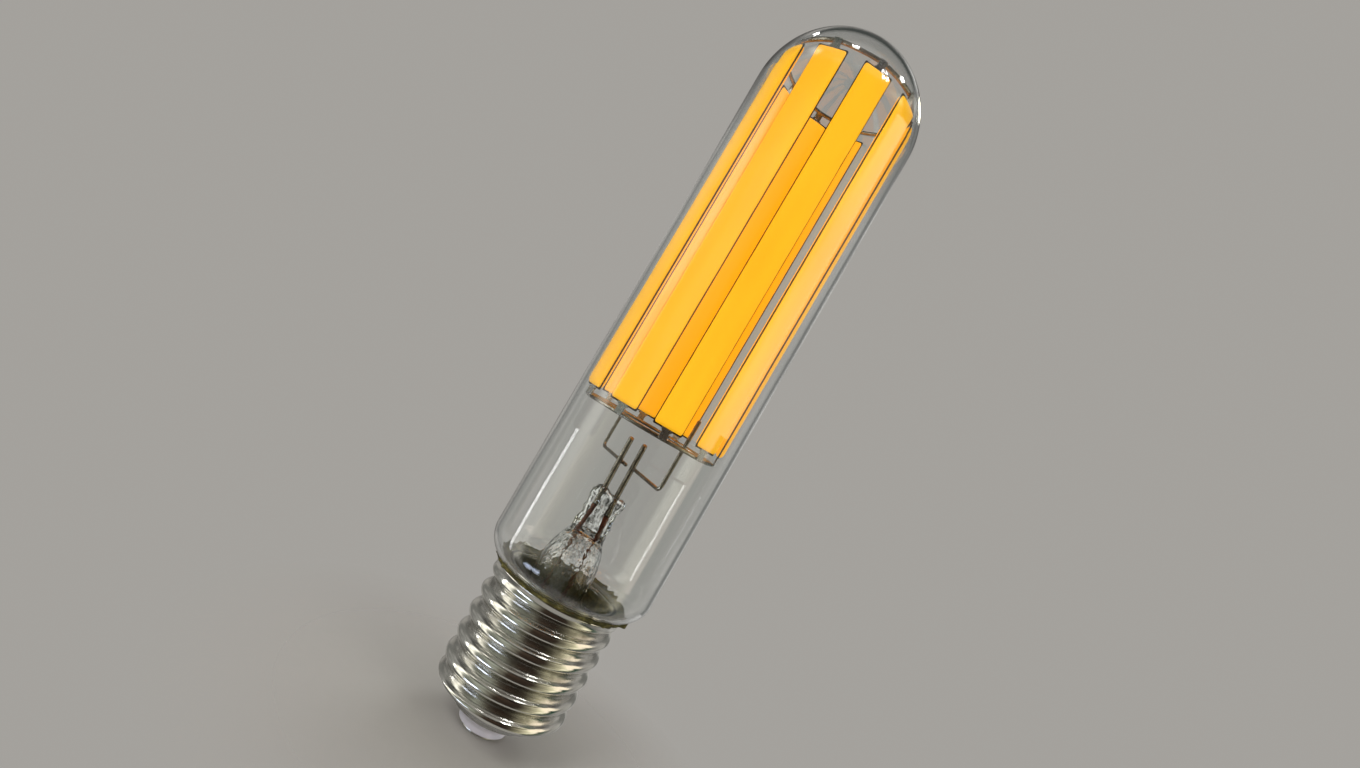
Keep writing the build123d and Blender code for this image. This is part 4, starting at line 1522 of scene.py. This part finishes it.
@dataclass
class HiddenDriver:
    """The driver inside the cap and the chips under the phosphor, kept as the frame has them."""

    def build(self) -> None:
        """Dresses each of its nodes."""
        for node, finish in (
            ("led_chips", Finishes.CHIP), ("driver_board", Finishes.BOARD),
            ("smoothing_capacitor", Finishes.CAN), ("inductor_core", Finishes.FERRITE),
            ("inductor_winding", Finishes.COPPER), ("bridge_rectifier", Finishes.PACKAGE),
            ("driver_chip", Finishes.PACKAGE), ("fuse_resistor", Finishes.RESISTOR),
            ("insulating_sleeve", Finishes.SLEEVE), ("contact_wire", Finishes.COPPER),
            ("shell_wire", Finishes.COPPER),
        ):
            dress(node, finish)


# The studio


@dataclass(frozen=True)
class Card:
    """A flat light or dark card that only gloss sees."""

    name: str
    corners: tuple[Point, Point, Point, Point]
    light: Point
    reach: float = 580.0

    @classmethod
    def wall(cls, name: str, turns: Spot, heights: Spot, light: Point) -> "Card":
        """A card that stands round the lamp.

        Args:
            name: its name.
            turns: where it starts and ends round the lamp, 0 towards the camera, in degrees.
            heights: its lowest and highest point.
            light: how bright it is.

        Returns:
            The card.
        """
        (low, high), (first, last) = heights, turns
        spots = ((first, low), (last, low), (last, high), (first, high))
        return cls(name, tuple(polar(cls.reach, degrees, z) for degrees, z in spots), light)

    @classmethod
    def roof(cls, name: str, xs: Spot, ys: Spot, z: float, light: Point) -> "Card":
        """A card that hangs level over the lamp."""
        return cls(name, ((xs[0], ys[0], z), (xs[1], ys[0], z), (xs[1], ys[1], z), (xs[0], ys[1], z)), light)

    def hang(self) -> None:
        """Makes the card."""
        mesh = bpy.data.meshes.new(self.name)
        mesh.from_pydata([Vector(corner) * MM for corner in self.corners], [], [(0, 1, 2, 3)])
        piece = bpy.data.objects.new(self.name, mesh)
        bpy.context.scene.collection.objects.link(piece)
        brush = Brush(bpy.data.materials.new(self.name))
        light = brush.node("ShaderNodeEmission", {0: (*self.light, 1), 1: 1.0})
        show_to_gloss(piece, brush, light.outputs[0])


def show_to_gloss(piece: bpy.types.Object, brush: Brush, light: bpy.types.NodeSocket) -> None:
    """Lets only reflections see a stage piece, also those from inside the glass.

    Args:
        piece: the stage piece.
        brush: where its nodes go.
        light: its light.
    """
    piece.visible_camera = piece.visible_diffuse = piece.visible_shadow = piece.visible_volume_scatter = False
    clear = brush.node("ShaderNodeBsdfTransparent")
    # A ray bent by glass counts as glossy too, so the number of reflections is what is asked.
    bounces = brush.node("ShaderNodeLightPath").outputs["Glossy Depth"]
    seen = brush.node("ShaderNodeMixShader", {
        0: brush.math("GREATER_THAN", bounces, 0.5), 1: clear.outputs[0], 2: light})
    piece.data.materials.append(brush.done(seen.outputs[0]))


@dataclass
class Studio:
    """Floor, world, lamps, reflection cards and camera."""

    backdrop: Point = (0.372, 0.358, 0.335)
    floor_colour: Point = (0.405, 0.392, 0.368)
    thick_glass_bounces: float = 4.5
    floor_radius: float = 400.0
    floor_fade: Spot = (22.0, 85.0)
    floor_drop: float = 0.2
    drum_radius: float = 600.0
    drum_levels: Rows = (
        (0.0, 0.35), (0.2, 0.6), (0.36, 0.95), (0.55, 1.0), (0.72, 1.2), (0.79, 0.25), (0.88, 0.3),
        (0.94, 1.4), (1.0, 0.6))
    sensor: float = 36.0
    lens: float = 18.26
    lens_shift: Spot = (0.0040, 0.0052)
    focal_tilt: float = 0.034
    roll_degrees: float = 30.09
    camera_at: Point = (0.0, -197.3, 101.7)

    def build_world(self) -> None:
        """Sets the plain surroundings, and an uneven room that only thick glass sees."""
        brush = Brush(bpy.data.worlds.new("plain surroundings"))
        place = brush.node("ShaderNodeTexCoord").outputs["Generated"]
        room = brush.node("ShaderNodeTexNoise", {"Vector": place, "Scale": 3.2, "Detail": 1.5}).outputs[0]
        uneven = brush.ramp(room, (0.40, (0.05, 0.05, 0.045)), (0.49, self.backdrop),
                            (0.62, (0.95, 0.93, 0.88)))
        bounces = brush.node("ShaderNodeLightPath").outputs["Transmission Depth"]
        seen = brush.mix(brush.math("GREATER_THAN", bounces, self.thick_glass_bounces), self.backdrop, uneven)
        light = brush.node("ShaderNodeBackground", {0: seen, 1: 1.0})
        bpy.context.scene.world = brush.done(light.outputs[0])

    def build_floor(self) -> None:
        """Makes the round floor, which fades into the surroundings at its rim."""
        skin = Skin()
        rows = [[(0.0, 0.0, 0.0)]]
        for radius in (20, 60, 120, 200, self.floor_radius):
            rows.append([polar(radius, 360 * index / 96, 0.0) for index in range(96)])
        skin.stack(rows)
        floor = skin.piece("floor")
        floor.location = (0.0, 0.0, -self.floor_drop * MM)
        floor.visible_glossy = False
        brush = Brush(bpy.data.materials.new("pale floor"))
        tone = brush.mix(brush.spread(brush.grain(4.0, 3.0), 0.3, 0.7, 0, 1), self.floor_colour,
                         tuple(value * 0.985 for value in self.floor_colour))
        matt = brush.surface(base_color=tone, roughness=0.9)
        clear = brush.node("ShaderNodeBsdfTransparent")
        near, far = self.floor_fade
        share = brush.spread(brush.radius(), near * MM, far * MM, 0, 1)
        mixed = brush.node("ShaderNodeMixShader", {0: share, 1: matt.outputs[0], 2: clear.outputs[0]})
        floor.data.materials.append(brush.done(mixed.outputs[0]))

    def build_drum(self) -> None:
        """Makes the ring of window and dark cards that only gloss sees."""
        skin = Skin()
        skin.stack([[polar(self.drum_radius, 360 * index / 128, z) for index in range(128)]
                    for z in (-900, -450, 0, 450, 900)])
        drum = skin.piece("reflection_cards")
        brush = Brush(bpy.data.materials.new("window and dark cards"))
        parts = brush.node("ShaderNodeSeparateXYZ", {0: brush.place}).outputs
        turn = brush.math("ARCTAN2", parts[0], brush.math("MULTIPLY", parts[1], -1.0))
        share = brush.spread(turn, -math.pi, math.pi, 0, 1)
        grey = self.backdrop

        def at(degrees: float) -> float:
            """Where an angle stands on the ramp."""
            return degrees / 360 + 0.5

        rise = brush.ramp(brush.spread(parts[2], -0.9, 0.9, 0, 1),
                          *((stop, (level,) * 3) for stop, level in self.drum_levels))
        bands = brush.ramp(
            share, (at(-150), grey), (at(-100), (0.30, 0.30, 0.29)), (at(-92), (0.16, 0.16, 0.15)),
            (at(-84), (1.4, 1.36, 1.22)), (at(-72), (1.9, 1.85, 1.65)), (at(-65), (0.24, 0.25, 0.21)),
            (at(-30), (0.38, 0.40, 0.34)), (at(-14), (0.26, 0.24, 0.19)), (at(-5), (0.05, 0.032, 0.022)),
            (at(36), (0.03, 0.02, 0.014)), (at(50), (0.26, 0.24, 0.17)), (at(65), (0.75, 0.70, 0.48)),
            (at(77), (1.6, 1.5, 1.1)), (at(82), (0.8, 0.78, 0.55)), (at(86), (0.01, 0.05, 0.03)),
            (at(94), (0.03, 0.10, 0.07)), (at(104), grey), (at(150), (0.55, 0.54, 0.52)), (at(180), grey))
        bands = brush.node("ShaderNodeVectorMath", {0: bands, 1: rise}, operation="MULTIPLY").outputs[0]
        lift = brush.spread(brush.grain(260, 2.0), 0.35, 0.65, 0.6, 1.25)
        light = brush.node("ShaderNodeEmission", {0: bands, 1: lift})
        show_to_gloss(drum, brush, light.outputs[0])

    def build_cards(self) -> None:
        """Hangs the window, its panes and the dark cards that give glass its outline."""
        white, cool, warm, dark = (24.0, 24.0, 24.0), (5.0, 5.6, 7.0), (1.5, 1.3, 1.03), (0.20, 0.20, 0.19)
        cards = [
            Card.wall("card_slit", (-91.5, -89.0), (-260, 40), (8.5, 8.5, 8.5)),
            Card.wall("card_glow_low", (74, 84), (-100, 110), warm),
            Card.wall("card_glow", (74, 101), (110, 560), warm),
            Card.wall("card_dark_left", (-143, -126), (-160, 880), dark),
            Card.wall("card_dark_right", (135, 152), (-160, 880), dark),
            Card.wall("card_glint", (150, 159), (600, 690), (7.0, 6.6, 5.4)),
            Card.roof("card_roof", (-700, 700), (-40, 900), 1000, (0.06, 0.065, 0.06)),
            Card.roof("card_spot_back", (-500, -420), (430, 510), 990, white),
            Card.roof("card_spot_top", (-215, -130), (-190, -140), 990, white),
            Card.roof("card_spot_right", (385, 460), (20, 90), 990, white)]
        for column, turns in enumerate(((36.5, 41.5), (45.0, 50.0))):
            for row, heights in enumerate(((960, 1110), (1210, 1370))):
                cards.append(Card.wall(f"card_pane_{column}{row}", turns, heights, white))
        for column, turns in enumerate(((-63, -50), (-48, -36))):
            cards.append(Card.wall(f"card_window_{column}", turns, (-500, -310), cool))
        for card in cards:
            card.hang()
            log.info("hung %s", card.name)

    def build_lamps(self) -> None:
        """Hangs the soft lamps."""
        for name, spot, size, watts, colour in (
            ("key", (-420, -480, 520), 420, 3.4, (1.0, 0.985, 0.96)),
            ("fill", (520, -380, 260), 360, 1.5, (1.0, 0.97, 0.93)),
            ("rim", (180, 520, 480), 380, 1.4, (0.96, 0.98, 1.0)),
        ):
            data = bpy.data.lights.new(name, "AREA")
            data.shape, data.size, data.energy, data.color = "DISK", size * MM, watts, colour
            lamp = bpy.data.objects.new(name, data)
            lamp.location = Vector(spot) * MM
            aim = Vector((0.0, 0.0, 0.1)) - lamp.location
            lamp.rotation_mode = "QUATERNION"
            lamp.rotation_quaternion = aim.to_track_quat("-Z", "Y")
            lamp.visible_camera = lamp.visible_transmission = lamp.visible_glossy = False
            bpy.context.scene.collection.objects.link(lamp)
            log.info("hung the %s lamp", name)

    def build_camera(self) -> None:
        """Sets the camera where the photograph's stood."""
        data = bpy.data.cameras.new("camera")
        data.sensor_width, data.lens = self.sensor, self.lens
        data.shift_x, data.shift_y = self.lens_shift
        data.clip_start, data.clip_end = 0.01, 20.0
        camera = bpy.data.objects.new("camera", data)
        tilt, roll = self.focal_tilt, math.radians(self.roll_degrees)
        ahead = Vector((0.0, math.cos(tilt), math.sin(tilt)))
        level_up = Vector((0.0, -math.sin(tilt), math.cos(tilt)))
        level_right = Vector((1.0, 0.0, 0.0))
        # The photo shows the lamp lying down: the camera is rolled instead of the lamp.
        right = level_right * math.cos(roll) + level_up * math.sin(roll)
        up = level_up * math.cos(roll) - level_right * math.sin(roll)
        turn = Matrix((right, up, -ahead)).transposed().to_4x4()
        camera.matrix_world = Matrix.Translation(Vector(self.camera_at) * MM) @ turn
        bpy.context.scene.collection.objects.link(camera)
        bpy.context.scene.camera = camera

    def build(self) -> None:
        """Makes the whole studio."""
        self.build_world()
        self.build_floor()
        self.build_drum()
        self.build_cards()
        self.build_lamps()
        self.build_camera()
        bpy.context.scene.view_settings.view_transform = "Standard"


def main() -> None:
    """Builds the studio and the lamp."""
    logging.basicConfig(level=logging.INFO, format="%(name)s: %(message)s")
    mount, tube, cap = Mount(), GlassTube(), ScrewCap()
    for part in (Studio(), tube, cap, CementRing(tube, cap), GlassStem(mount), MountWires(mount),
                 FilamentCage(mount), HiddenDriver()):
        part.build()
        log.info("finished %s", type(part).__name__)


if __name__ == "__main__":
    main()
